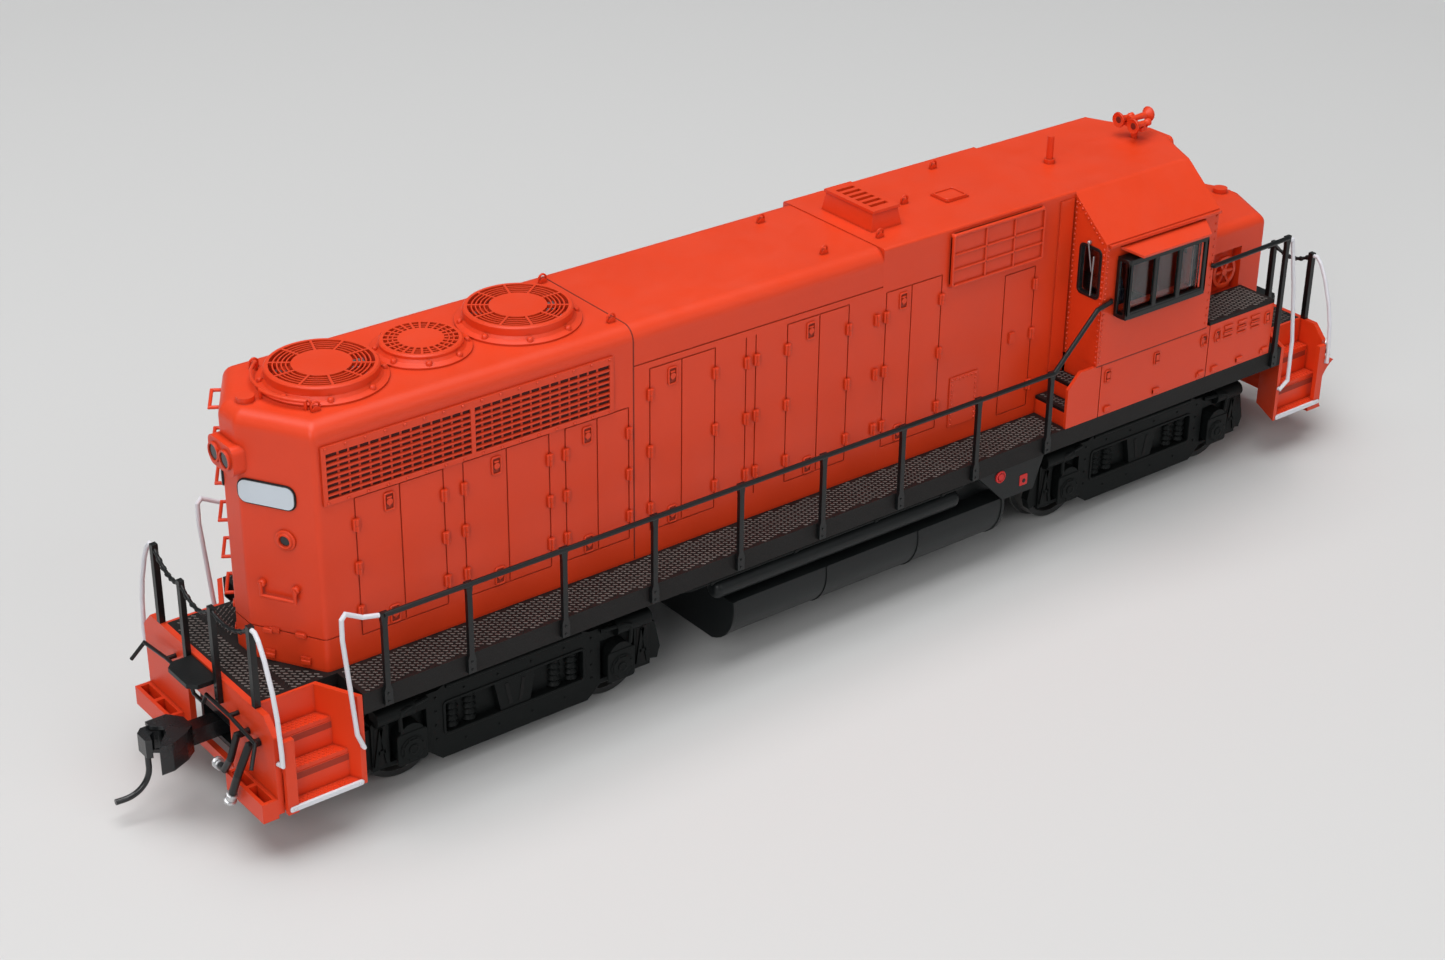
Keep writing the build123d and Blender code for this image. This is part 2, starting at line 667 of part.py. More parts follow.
def hood_blower():
    shell = block(SEAM_BLOWER, CAB_REAR, -HOOD_HALF, HOOD_HALF, DECK, BLOWER_ROOF)
    edges = shell.edges().filter_by(Axis.X).group_by(Axis.Z)[-1]
    shell = fillet(edges, 0.35)
    inner = HOOD_HALF - HOOD_WALL
    cuts = [block(SEAM_BLOWER - 1, CAB_REAR + 1, -inner, inner, DECK - 1, BLOWER_ROOF - HOOD_WALL)]
    y1 = -HOOD_HALF + FILTER_DEPTH
    cuts += both_sides([block(FILTER_X[0], FILTER_X[-1], -HOOD_HALF - 1, y1, FILTER_Z[0], FILTER_Z[-1])])
    cuts += door_seams(SEAM_BLOWER, BLOWER_DOORS, HIGH_DOOR_TOP)
    door = [SEAM_BLOWER + 22.5, SEAM_BLOWER + 28.2]
    cuts += both_sides([upright_seam(x, DECK + 1.8, FILTER_Z[0] - 1.3) for x in door])
    cuts += both_sides([level_seam(door[0], door[1], z) for z in (DECK + 1.8, FILTER_Z[0] - 1.3)])
    shell = shell.cut(*cuts)
    adds = door_fittings(SEAM_BLOWER, BLOWER_DOORS, HIGH_DOOR_TOP)
    sides = [filter_frame()]
    sides.append(raised(SEAM_BLOWER + 13.0, SEAM_BLOWER + 18.2, DECK + 2.8, DECK + 10.3, 0.2))
    sides.append(raised(CAB_REAR - 2.9, CAB_REAR - 0.4, STEP_Z[1] + 0.5, BLOWER_ROOF - 1.0, 0.25))
    sides.append(raised(door[0] + 1.3, door[0] + 2.3, DECK + 12.6, DECK + 14.2, 0.35))
    adds += both_sides(sides)
    x0, x1, y0, y1 = HATCH
    adds.append(block(SEAM_BLOWER + x0, SEAM_BLOWER + x1, y0, y1, BLOWER_ROOF - 0.1, BLOWER_ROOF + HATCH_H))
    for x, y in ((2.2, -7.0), (12.7, 0.0), (24.7, 7.5)):
        adds.append(roof_eye(SEAM_BLOWER + x, y, BLOWER_ROOF))
    return joined([shell] + adds)


skin = radiator_skin()
save(hood_radiator(skin), "hood_radiator_end")
save(hood_engine(), "hood_engine")
save(hood_blower(), "hood_blower")


# Radiator louvres: rim, slats and bars, one moulding on each side
SLATS = 7
BARS = 14
RIM_LAP = 0.3
RIM_PROUD = 0.3
SLAT_RISE = 0.28
SLAT_T = 0.2


def louvres():
    face = -HOOD_HALF
    floor = face + LOUVRE_DEPTH
    x0 = LOUVRE_X0 - RIM_LAP
    x1 = LOUVRE_X1 + RIM_LAP
    middle = (x0 + x1) / 2
    rim = block(x0, x1, face - RIM_PROUD, face, LOUVRE_Z0 - 0.5, LOUVRE_Z1 + 0.7)
    for a, b in ((x0 + 0.6, middle - 0.3), (middle + 0.3, x1 - 0.6)):
        rim -= block(a, b, face - 1, face + 1, LOUVRE_Z0 + 0.2, LOUVRE_Z1 - 0.3)
    pieces = [rim]
    z0 = LOUVRE_Z0 + 0.1
    pitch = (LOUVRE_Z1 - 0.2 - z0) / (SLATS + 1)
    for i in range(SLATS):
        z = z0 + pitch * (i + 1)
        slat = [
            (face - 0.2, z - SLAT_RISE),
            (face - 0.2, z - SLAT_RISE + SLAT_T),
            (floor, z + SLAT_RISE),
            (floor, z + SLAT_RISE - SLAT_T),
        ]
        pieces.append(along_x(slat, LOUVRE_X0 + 0.2, LOUVRE_X1 - 0.2))
    step = (LOUVRE_LENGTH - 1.2) / BARS
    for i in range(BARS):
        x = LOUVRE_X0 + 0.6 + step * (i + 0.5)
        pieces.append(block(x - 0.15, x + 0.15, face - 0.05, face + 0.35, LOUVRE_Z0 + 0.15, LOUVRE_Z1 - 0.15))
    return joined(pieces)


right = louvres()
save(group([right, flip_y(right)]), "radiator_louvres")


# Roof fans: centre from the hood's rear corner, drum radius, height, spokes, rings, cap share
FANS = [
    (7.6, 6.83, 2.0, 10, 4, 0.53),
    (21.2, 5.13, 1.4, 24, 2, 0.55),
    (35.2, 6.83, 2.0, 10, 4, 0.53),
]
FAN_FLANGE = 1.05
FAN_WALL = 0.6
GRILLE_T = 0.45
SPOKE_W = 0.3
RING_W = 0.18
BLADES = 8


def fan_housing(x, radius, height, spokes, rings, share):
    top = ROOF + height
    inner = radius - FAN_WALL
    wall = [
        (inner, ROOF),
        (radius + FAN_FLANGE, ROOF),
        (radius + FAN_FLANGE, ROOF + 0.25),
        (radius + 0.3, ROOF + 0.5),
        (radius, ROOF + 0.85),
        (radius, top - 0.2),
        (radius - 0.2, top),
        (inner, top),
    ]
    wire = Polyline(*[(r, 0, z) for r, z in wall], close=True)
    pieces = [revolve(make_face(wire), axis=Axis.Z)]
    cap = radius * share
    pieces.append(disc(0, 0, top - GRILLE_T, cap, GRILLE_T))
    length = inner - cap + 0.6
    for i in range(spokes):
        spoke = Pos(cap - 0.3 + length / 2, 0, top - GRILLE_T / 2) * Box(length, SPOKE_W, GRILLE_T)
        pieces.append(Rot(0, 0, 360 / spokes * i) * spoke)
    step = (inner - cap) / (rings + 1)
    for i in range(rings):
        r = cap + step * (i + 1)
        ring = disc(0, 0, top - 0.35, r + RING_W / 2, 0.3)
        pieces.append(ring - disc(0, 0, top - 1, r - RING_W / 2, 2))
    return Pos(HOOD_CORNER + x, 0, 0) * joined(pieces)


def fan_blades(x, radius, height):
    pieces = [disc(0, 0, ROOF, 1.2, height - 0.8)]
    for i in range(BLADES):
        blade = Pos(radius / 2, 0, ROOF + 0.45) * Rot(28, 0, 0) * Box(radius - 2.2, 1.2, 0.25)
        pieces.append(Rot(0, 0, 360 / BLADES * i) * blade)
    return Pos(HOOD_CORNER + x, 0, 0) * joined(pieces)


save(group([fan_housing(*row) for row in FANS]), "fan_housings")
save(group([fan_blades(*row[:3]) for row in FANS]), "fan_blades")


# Exhaust stack across the roof: tapered box with a lip plate and six slots side by side
STACK_X = SEAM_BLOWER + 4.95
STACK_HALF_X = 2.6
STACK_HALF_Y = 5.2
STACK_H = 2.5
STACK_TAPER = 0.4
LIP_T = 0.4
STACK_SLOTS = 6
SLOT_PITCH = 1.35
SLOT_W = 0.7
SLOT_L = 3.0


def exhaust_stack():
    top = BLOWER_ROOF + STACK_H
    low = Pos(STACK_X, 0, BLOWER_ROOF) * Rectangle(2 * STACK_HALF_X, 2 * STACK_HALF_Y)
    high = Pos(STACK_X, 0, top) * Rectangle(2 * (STACK_HALF_X - STACK_TAPER), 2 * (STACK_HALF_Y - STACK_TAPER))
    shape = loft([low, high])
    shape += Pos(STACK_X, 0, top + LIP_T / 2) * Box(2 * STACK_HALF_X - 0.5, 2 * STACK_HALF_Y - 0.2, LIP_T)
    for i in range(STACK_SLOTS):
        y = SLOT_PITCH * (i - (STACK_SLOTS - 1) / 2)
        shape -= Pos(STACK_X, y, top) * Box(SLOT_L, SLOT_W, 2.4)
    return shape


save(exhaust_stack(), "exhaust_box")


# Nose: low short hood with a V-shaped front and a brake wheel recess on the right side
RECESS = (CAB_FRONT + 8.0, CAB_FRONT + 14.1, DECK + 8.06, DECK + 15.26)
RECESS_DEPTH = 1.6
WHEEL_RING = 2.45
WHEEL_RING_W = 0.5
WHEEL_SPOKES = 6


def nose_skin():
    plan = v_plan(CAB_FRONT, NOSE_CORNER, NOSE_TIP, NOSE_HALF, NOSE_FLAT)
    shape = prism(plan, DECK, NOSE_TOP)
    uprights = [e for e in shape.edges().filter_by(Axis.Z) if e.center().X > CAB_FRONT + 1]
    shape = fillet(uprights, 0.8)
    top = [e for e in shape.edges().group_by(Axis.Z)[-1] if e.center().X > CAB_FRONT + 0.01]
    return fillet(top, NOSE_SHOULDER_R)


def nose():
    x0, x1, z0, z1 = RECESS
    shape = nose_skin() - block(x0, x1, -NOSE_HALF - 1, -NOSE_HALF + RECESS_DEPTH, z0, z1)
    return shape + disc(NOSE_CORNER + 1.1, 0, NOSE_TOP - 0.1, 1.1, CAP_HEIGHT + 0.1)


save(nose(), "nose")

wheel_x = (RECESS[0] + RECESS[1]) / 2
wheel_z = (RECESS[2] + RECESS[3]) / 2
wheel_y = -NOSE_HALF + 0.5
ring = Cylinder(WHEEL_RING, 0.4) - Cylinder(WHEEL_RING - WHEEL_RING_W, 1)
spoke = Pos(WHEEL_RING / 2, 0, 0) * Box(WHEEL_RING - WHEEL_RING_W / 2, 0.35, 0.3)
spokes = [Rot(0, 0, 360 / WHEEL_SPOKES * i) * spoke for i in range(WHEEL_SPOKES)]
brake = joined([ring, Cylinder(0.55, 0.6)] + spokes)
brake = Pos(wheel_x, wheel_y, wheel_z) * Rot(90, 0, 0) * brake
shaft = rod((wheel_x, wheel_y, wheel_z), (wheel_x, -NOSE_HALF + RECESS_DEPTH, wheel_z), 0.35)
save(joined([brake, shaft]), "brake_wheel")


# Cab shell: hollow, V-shaped windshield standing on the nose, windows cut in every wall
WINDOW_R = 0.7
SHIELD_W = 6.3
SHIELD_Z0 = NOSE_TOP + 4.5
SHIELD_Z1 = CAB_ROOF - 3.6
SIDE_WINDOW = (HOOD_HALF + 1.74, CAB_HALF - 0.85)
REAR_WINDOW_Z = (EAVE - 8.55, EAVE - 1.25)
FRONT_WINDOW_Z = (EAVE - 7.75, EAVE - 1.25)
GLASS_T = 0.3
GLASS_LAP = 0.3


def cab_profile(inset, x0, x1):
    half = CAB_HALF - inset
    ridge = RIDGE_Y - inset * 0.35
    eave = EAVE - inset * 0.4
    low = CAB_FLOOR + inset
    high = CAB_ROOF - inset
    points = [(-half, low), (-half, eave), (-ridge, high), (ridge, high), (half, eave), (half, low)]
    return along_x(points, x0, x1)


def windshield_plan(inset, back):
    return v_plan(back, WINDSHIELD_CORNER, WINDSHIELD_TIP, WINDSHIELD_HALF, WINDSHIELD_FLAT, inset)


def windshield_solid(inset, back):
    low = NOSE_TOP - NOSE_SHOULDER_R - 0.1
    return prism(windshield_plan(inset, back), low, CAB_ROOF - inset)


def wall_pane(y0, y1, z0, z1, x0, x1, radius):
    plane = Plane(origin=(x0, (y0 + y1) / 2, (z0 + z1) / 2), x_dir=(0, 1, 0), z_dir=(1, 0, 0))
    return extrude(plane * RectangleRounded(y1 - y0, z1 - z0, radius), amount=x1 - x0)


shield_start, shield_along, shield_out = v_face(
    WINDSHIELD_CORNER, WINDSHIELD_TIP, WINDSHIELD_HALF, WINDSHIELD_FLAT
)
SHIELD_LENGTH = math.hypot(WINDSHIELD_PROW, WINDSHIELD_HALF - WINDSHIELD_FLAT)


def shield_plane(z, out):
    origin = shield_start + shield_along * (SHIELD_LENGTH / 2) + shield_out * out + Vector(0, 0, z)
    return Plane(origin=origin, x_dir=shield_along, z_dir=shield_out)


shield_middle = (SHIELD_Z0 + SHIELD_Z1) / 2
shield_h = SHIELD_Z1 - SHIELD_Z0


def cab_outer():
    main = cab_profile(0, CAB_REAR, CAB_FRONT)
    ridges = main.edges().filter_by(Axis.X).group_by(Axis.Z)[-1]
    main = fillet(ridges, RIDGE_R)
    front = windshield_solid(0, CAB_FRONT - 0.5)
    top = [e for e in front.edges().group_by(Axis.Z)[-1] if e.center().X > WINDSHIELD_CORNER]
    front = fillet(top, 0.6)
    return main + (front - nose_skin())


def cab_inner():
    main = cab_profile(CAB_WALL, CAB_REAR + CAB_WALL, CAB_FRONT - CAB_WALL)
    return main + (windshield_solid(CAB_WALL, CAB_FRONT - CAB_WALL - 0.2) - nose_skin())


def cab_shell(inner):
    y0, y1 = SIDE_WINDOW
    x = CAB_REAR
    right = [wall_pane(-y1, -y0, *REAR_WINDOW_Z, x - 1, x + CAB_WALL + 1, WINDOW_R)]
    x = CAB_FRONT
    right.append(wall_pane(-y1, -y0, *FRONT_WINDOW_Z, x - CAB_WALL - 1, x + 1, WINDOW_R))
    shield = shield_plane(shield_middle, -CAB_WALL - 1) * RectangleRounded(SHIELD_W, shield_h, WINDOW_R)
    right.append(extrude(shield, amount=CAB_WALL + 2))
    y_in = -CAB_HALF + CAB_WALL + 0.5
    right.append(block(BAY_X0 + 0.8, BAY_X1 - 0.8, -CAB_HALF - 1, y_in, BAY_Z0 + 0.8, BAY_Z1 - 0.8))
    shell = cab_outer().cut(inner, *both_sides(right))
    strip = block(CAB_REAR + 0.5, CAB_FRONT, -CAB_HALF - 0.45, -CAB_HALF + 0.1, EAVE - 0.6, EAVE - 0.2)
    return joined([shell] + both_sides([strip]))


inner = cab_inner()
save(cab_shell(inner), "cab_shell")


def cab_glass(inner):
    y0 = -SIDE_WINDOW[1] - GLASS_LAP
    y1 = -SIDE_WINDOW[0] + GLASS_LAP
    x = CAB_REAR + CAB_WALL
    panes = [block(x, x + GLASS_T, y0, y1, REAR_WINDOW_Z[0] - GLASS_LAP, REAR_WINDOW_Z[1] + GLASS_LAP)]
    x = CAB_FRONT - CAB_WALL
    panes.append(block(x - GLASS_T, x, y0, y1, FRONT_WINDOW_Z[0] - GLASS_LAP, FRONT_WINDOW_Z[1] + GLASS_LAP))
    plane = shield_plane(shield_middle, -CAB_WALL - GLASS_T)
    pane = Rectangle(SHIELD_W + 2 * GLASS_LAP, shield_h + 2 * GLASS_LAP)
    panes.append(extrude(plane * pane, amount=GLASS_T))
    return [p & inner for p in both_sides(panes)]


save(group(cab_glass(inner)), "cab_glazing")


# Bay windows: a black box frame with three outer panes and two end panes on each side
BAY_MARGIN = 1.0
BAY_BAR = 0.8
BAY_PANES = 3
PANE_Z0 = BAY_Z0 + 1.4
PANE_Z1 = BAY_Z1 - 1.4


def bay_frame():
    y_in = -CAB_HALF
    y_out = -CAB_HALF - BAY_DEPTH
    shape = block(BAY_X0, BAY_X1, y_out, y_in, BAY_Z0, BAY_Z1)
    x0 = BAY_X0 + BAY_WALL
    x1 = BAY_X1 - BAY_WALL
    shape -= block(x0, x1, y_out + BAY_WALL, y_in + 1, BAY_Z0 + BAY_WALL, BAY_Z1 - BAY_WALL)
    width = (BAY_LENGTH - 2 * BAY_MARGIN - (BAY_PANES - 1) * BAY_BAR) / BAY_PANES
    for i in range(BAY_PANES):
        x = BAY_X0 + BAY_MARGIN + (width + BAY_BAR) * i
        shape -= block(x, x + width, y_out - 1, y_out + BAY_WALL + 0.3, PANE_Z0, PANE_Z1)
    shape -= block(BAY_X0 - 1, BAY_X1 + 1, y_out + BAY_WALL + 0.1, y_in - 0.5, PANE_Z0, PANE_Z1)
    return shape


def bay_glass():
    y_out = -CAB_HALF - BAY_DEPTH + BAY_WALL
    z0 = BAY_Z0 + BAY_WALL + 0.1
    z1 = BAY_Z1 - BAY_WALL - 0.1
    x0 = BAY_X0 + BAY_WALL
    x1 = BAY_X1 - BAY_WALL
    long_pane = block(x0 + 0.1, x1 - 0.1, y_out, y_out + 0.25, z0, z1)
    rear = block(x0, x0 + 0.25, y_out + GLASS_T, -CAB_HALF - 0.1, z0, z1)
    front = block(x1 - 0.25, x1, y_out + GLASS_T, -CAB_HALF - 0.1, z0, z1)
    return [long_pane, rear, front]


frame = bay_frame()
save(frame, "bay_window_right")
save(flip_y(frame), "bay_window_left")
save(group(both_sides(bay_glass())), "bay_glazing")


# Awnings above the bay windows
AWNING_DROP = 1.3
AWNING_OUT = 3.0
AWNING_T = 0.4


def awning():
    x = (BAY_X0 + BAY_X1) / 2 + 0.9
    slope = Plane(origin=(x, -CAB_HALF, EAVE - AWNING_DROP), x_dir=(1, 0, 0), z_dir=Vector(0, -0.3, 0.954))
    half = BAY_LENGTH / 2 + 0.45
    tip = half - 1.7
    plan = Polyline((-half, 0), (half, 0), (tip, -AWNING_OUT), (-tip, -AWNING_OUT), close=True)
    sheet = extrude(slope * make_face(plan), amount=AWNING_T)
    return sheet - block(CAB_REAR, CAB_FRONT, -CAB_HALF, 0, BAY_Z0, CAB_ROOF)


right = awning()
save(group([right, flip_y(right)]), "awnings")


# Equipment boxes below the cab and beside the nose, with cab steps at the rear
STEP_X = [STEP_LOW, STEP_LOW + STEP_PLATE, CAB_REAR]
BOX_HINGES = [CAB_REAR + 2.9, CAB_REAR + 12.8, CAB_REAR + 22.0, BOX_SEAM + 1.7, BOX_SEAM + 7.2, BOX_SEAM + 12.4]
BOX_LATCHES = [CAB_REAR + 2.6, CAB_REAR + 12.6, CAB_REAR + 22.0, BOX_SEAM + 1.5, BOX_SEAM + 12.7]
BOX_VENTS = [BOX_SEAM + 4.2, BOX_SEAM + 7.2, BOX_SEAM + 10.0]
FITTING = 0.2


def on_box(x, z, width, height):
    y0 = -SILL_HALF - FITTING
    y1 = -SILL_HALF + 0.1
    return block(x - width / 2, x + width / 2, y0, y1, z - height / 2, z + height / 2)


def equipment_box():
    skirt = [
        (BOX_REAR, DECK),
        (BOX_REAR, CAB_FLOOR - 2.2),
        (BOX_REAR + 2.2, CAB_FLOOR),
        (CAB_REAR, CAB_FLOOR),
        (CAB_REAR, DECK),
    ]
    pieces = [along_y(skirt, -SILL_HALF, -SILL_HALF + PANEL_T)]
    pieces.append(block(CAB_REAR, BOX_SEAM, -SILL_HALF, -BOX_IN, DECK, CAB_FLOOR))
    pieces.append(block(BOX_SEAM, BOX_FRONT, -SILL_HALF, -NOSE_HALF, DECK, CAB_FLOOR))
    for i in (0, 1):
        y0 = -SILL_HALF + PANEL_T
        pieces.append(block(STEP_X[i], CAB_REAR, y0, -HOOD_HALF, DECK, STEP_Z[i] - TREAD_T))
    pieces += [on_box(x, DECK + 0.75, 1.1, 0.6) for x in BOX_HINGES]
    pieces += [on_box(x, CAB_FLOOR - 2.0, 0.6, 0.9) for x in BOX_LATCHES]
    for x in BOX_VENTS:
        pieces += [on_box(x, CAB_FLOOR - drop, 1.9, 0.35) for drop in (1.1, 2.2)]
    box = joined(pieces)
    y0 = -SILL_HALF - 1
    y1 = -SILL_HALF + SEAM_DEPTH
    seams = [block(x, x + SEAM_W, y0, y1, DECK, CAB_FLOOR) for x in (CAB_REAR + 1.1, BOX_SEAM)]
    return box.cut(*seams)


right = equipment_box()
save(right, "equipment_box_right")
save(flip_y(right), "equipment_box_left")

plates = []
for i in (0, 1):
    y0 = -SILL_HALF + PANEL_T
    plates.append(block(STEP_X[i], STEP_X[i + 1], y0, -HOOD_HALF, STEP_Z[i] - TREAD_T, STEP_Z[i]))
plates.append(block(BOX_SEAM, BOX_FRONT, -SILL_HALF, -NOSE_HALF, CAB_FLOOR, CAB_FLOOR + TREAD_T))
save(group(both_sides(plates)), "tread_plates")


# Handrails along the walkways: stanchions on the sill face, rail rising to the cab
POST_FIRST = HOOD_CORNER + 3.96
POST_SECOND = HOOD_CORNER + 15.65
POST_LAST = CAB_REAR - 9.1
POSTS = 8
RAIL_OFFSET = 0.46
RAIL_Y = -SILL_HALF - RAIL_OFFSET
RAIL_Z = DECK + 9.96
RAIL_R = 0.35
POST_T = 0.6
POST_FOOT = SILL_BOTTOM + 0.5
NOSE_RAIL_Z = CAB_FLOOR + 10.3
NOSE_POST = BOX_FRONT + 0.9
GRIP_Z = CAB_FLOOR + 9.8


def stanchion(x, top):
    half = [(0.55, POST_FOOT), (0.55, DECK - 0.4), (0.35, DECK + 0.3), (0.35, top - 1.6), (0.55, top)]
    outline = [(x + dx, z) for dx, z in half] + [(x - dx, z) for dx, z in reversed(half)]
    return along_y(outline, -SILL_HALF - POST_T, -SILL_HALF)


def handrail():
    pitch = (POST_LAST - POST_SECOND) / (POSTS - 1)
    spots = [POST_FIRST] + [POST_SECOND + pitch * i for i in range(POSTS)]
    run = [
        (POST_FIRST, RAIL_Y, RAIL_Z),
        (POST_LAST + 0.3, RAIL_Y, RAIL_Z),
        (CAB_REAR - 1.2, RAIL_Y, GRIP_Z - 0.5),
        (CAB_REAR + 1.4, RAIL_Y, GRIP_Z),
        (CAB_REAR + 1.8, -CAB_HALF, GRIP_Z),
    ]
    cab_block = block(CAB_REAR - 4, CAB_FRONT, -CAB_HALF, 0, CAB_FLOOR, CAB_ROOF)
    back = joined([pipe(run, RAIL_R) - cab_block] + [stanchion(x, RAIL_Z + 0.3) for x in spots])
    front_run = [
        (CAB_FRONT - 0.4, -CAB_HALF, NOSE_RAIL_Z - 0.4),
        (CAB_FRONT - 0.2, RAIL_Y, NOSE_RAIL_Z - 0.4),
        (NOSE_POST, RAIL_Y, NOSE_RAIL_Z),
    ]
    front = joined([pipe(front_run, RAIL_R) - cab_block, stanchion(NOSE_POST, NOSE_RAIL_Z + 0.3)])
    return [back, front]


rails = handrail()
save(group(rails), "handrail_right")
save(group([flip_y(r) for r in rails]), "handrail_left")


# End posts: the outer pair stands on the end plate, the inner pair on its face, chains between
OUTER_POST_Y = 11.9
OUTER_POST_TOP = DECK + 10.96
INNER_POST_Y = 3.8
INNER_POST_TOP = DECK + 9.96
INNER_POST_FOOT = DECK - 3.3
END_POST_HALF = 0.4
INNER_POST_T = 0.7
CHAIN_R = 0.25
CHAIN_LINKS = 6


def chain(start, end, sag):
    points = []
    for i in range(CHAIN_LINKS + 1):
        t = i / CHAIN_LINKS
        x, y, z = [a + (b - a) * t for a, b in zip(start, end)]
        points.append((x, y, z - 4 * sag * t * (1 - t)))
    return pipe(points, CHAIN_R)


def end_posts():
    outer_x = (PLATE_IN + PLATE_OUT) / 2
    inner_x = PLATE_OUT + INNER_POST_T / 2
    pieces = []
    for way in (-1, 1):
        y = way * OUTER_POST_Y
        pieces.append(block(PLATE_IN, PLATE_OUT, y - END_POST_HALF, y + END_POST_HALF, DECK, OUTER_POST_TOP))
        y = way * INNER_POST_Y
        y0 = y - END_POST_HALF
        y1 = y + END_POST_HALF
        pieces.append(block(PLATE_OUT, PLATE_OUT + INNER_POST_T, y0, y1, INNER_POST_FOOT, INNER_POST_TOP))
        start = (outer_x, way * OUTER_POST_Y, OUTER_POST_TOP - 0.5)
        pieces.append(chain(start, (inner_x, way * INNER_POST_Y, INNER_POST_TOP - 0.5), 1.3))
    start = (inner_x, -INNER_POST_Y, INNER_POST_TOP - 0.5)
    pieces.append(chain(start, (inner_x, INNER_POST_Y, INNER_POST_TOP - 0.5), 1.7))
    return joined(pieces)


save(end_posts(), "end_posts_front")
save(turn(end_posts()), "end_posts_rear")


# White grab rails beside the steps: x and z of each bend, or y and z for the outer rail
GRAB_R = 0.3
GRAB_Y = -SILL_HALF - 0.31
GRAB_FOOT = DECK - 6.94
POST_SIDE = OUTER_POST_Y + END_POST_HALF
OUTER_BENDS = [
    (-POST_SIDE, OUTER_POST_TOP - 0.4),
    (-POST_SIDE - 0.7, OUTER_POST_TOP - 0.4),
    (-POST_SIDE - 1.5, OUTER_POST_TOP - 1.2),
    (-SILL_HALF + 2.2, DECK + 7.7),
    (-SILL_HALF + 0.9, DECK + 4.0),
    (-SILL_HALF + 0.2, DECK + 0.7),
    (-SILL_HALF - 0.2, DECK - 3.8),
    (-SILL_HALF - 0.2, DECK - 5.4),
    (-PLATE_HALF, DECK - 5.7),
]
REAR_BENDS = [
    (-POST_FIRST + 0.6, RAIL_Z + 0.1),
    (SILL_END - 0.4, RAIL_Z + 0.6),
    (SILL_END + 1.8, RAIL_Z + 1.8),
    (SILL_END + 2.35, RAIL_Z + 1.2),
    (SILL_END + 2.4, RAIL_Z - 1.5),
    (SILL_END + 1.8, DECK + 1.5),
    (SILL_END + 1.25, DECK - 5.0),
    (SILL_END + 0.5, GRAB_FOOT),
]
FRONT_BENDS = [
    (NOSE_POST + 0.55, NOSE_RAIL_Z - 0.6),
    (NOSE_POST + 1.2, NOSE_RAIL_Z - 0.6),
    (SILL_END + 0.8, DECK + 9.7),
    (SILL_END + 2.0, DECK + 0.7),
    (SILL_END + 2.1, DECK - 5.9),
    (SILL_END + 0.5, GRAB_FOOT),
]


def four_rails(bends):
    x = (PLATE_IN + PLATE_OUT) / 2
    outer = [(x, y, z) for y, z in OUTER_BENDS]
    side = [(x, GRAB_Y, z) for x, z in bends]
    side.append((bends[-1][0], -SILL_HALF, bends[-1][1]))
    return both_sides([pipe(outer, GRAB_R), pipe(side, GRAB_R)])


save(group(four_rails(FRONT_BENDS)), "grab_rails_front")
save(group([turn(r) for r in four_rails(REAR_BENDS)]), "grab_rails_rear")


# Ladder irons and drop handles on the slanted rear panels, and the grab iron round the rear fan
IRONS = 6
IRON_FIRST = DECK + 5.3
IRON_PITCH = 5.0
IRON_S = (3.2, 7.8)
IRON_OUT = 1.2
IRON_R = 0.22
HANDLE_S = (2.25, 6.78)
HANDLE_Z = DECK + 10.76
HANDLE_DROP = 1.5
HANDLE_OUT = 0.6
FAN_RAIL_R = 8.55
FAN_RAIL_H = 1.1


def on_panel(s, z, out):
    return tuple(rear_start + rear_along * s + rear_out * out + Vector(0, 0, z))


def irons():
    ladder = []
    for i in range(IRONS):
        z = IRON_FIRST + IRON_PITCH * i
        a, b = IRON_S
        points = [on_panel(a, z, 0), on_panel(a, z, IRON_OUT), on_panel(b, z, IRON_OUT), on_panel(b, z, 0)]
        ladder.append(flip_y(pipe(points, IRON_R)))
    a, b = HANDLE_S
    low = HANDLE_Z - HANDLE_DROP
    points = [(a, HANDLE_Z, 0), (a, HANDLE_Z, HANDLE_OUT), (a, low, HANDLE_OUT)]
    points += [(b, low, HANDLE_OUT), (b, HANDLE_Z, HANDLE_OUT), (b, HANDLE_Z, 0)]
    handle = pipe([on_panel(*p) for p in points], IRON_R)
    return ladder + [handle]


def fan_rail():
    x = HOOD_CORNER + FANS[0][0]
    top = ROOF + FAN_RAIL_H
    bends = []
    for i in range(6):
        angle = math.radians(184 + 8.6 * i)
        bends.append((x + FAN_RAIL_R * math.cos(angle), FAN_RAIL_R * math.sin(angle), top))
    first = (bends[0][0], bends[0][1], ROOF)
    last = (bends[-1][0], bends[-1][1], ROOF)
    return pipe([first] + bends + [last], IRON_R)


save(group(irons() + [fan_rail()]), "ladder_irons")


# Lamps and number boards
LAMP_Y = 1.3
LAMP_R = 0.95
BARREL_R = 1.25
BARREL_PROUD = 0.35
REAR_LAMP_Z = ROOF - 6.0
REAR_LAMP_H = 3.8
FRONT_LAMP_Z = CAB_ROOF - 1.75
FRONT_LAMP_H = 2.9
LAMP_BOX_HALF = 2.95
LAMP_BOX_PROUD = 1.0
LENS_GAP = 0.05


def lamp_box(x0, x1, z, height):
    shape = block(x0, x1, -LAMP_BOX_HALF, LAMP_BOX_HALF, z - height / 2, z + height / 2)
    return fillet(shape.edges().filter_by(Axis.X), 1.0)


def barrels(x, way, z):
    rings = []
    for y in (-LAMP_Y, LAMP_Y):
        ring = rod((x - way * 0.2, y, z), (x + way * BARREL_PROUD, y, z), BARREL_R)
        rings.append(ring - rod((x, y, z), (x + way, y, z), LAMP_R + LENS_GAP))
    return rings


def lamp_lens(x, way, z):
    return [rod((x, y, z), (x + way * 0.2, y, z), LAMP_R) for y in (-LAMP_Y, LAMP_Y)]


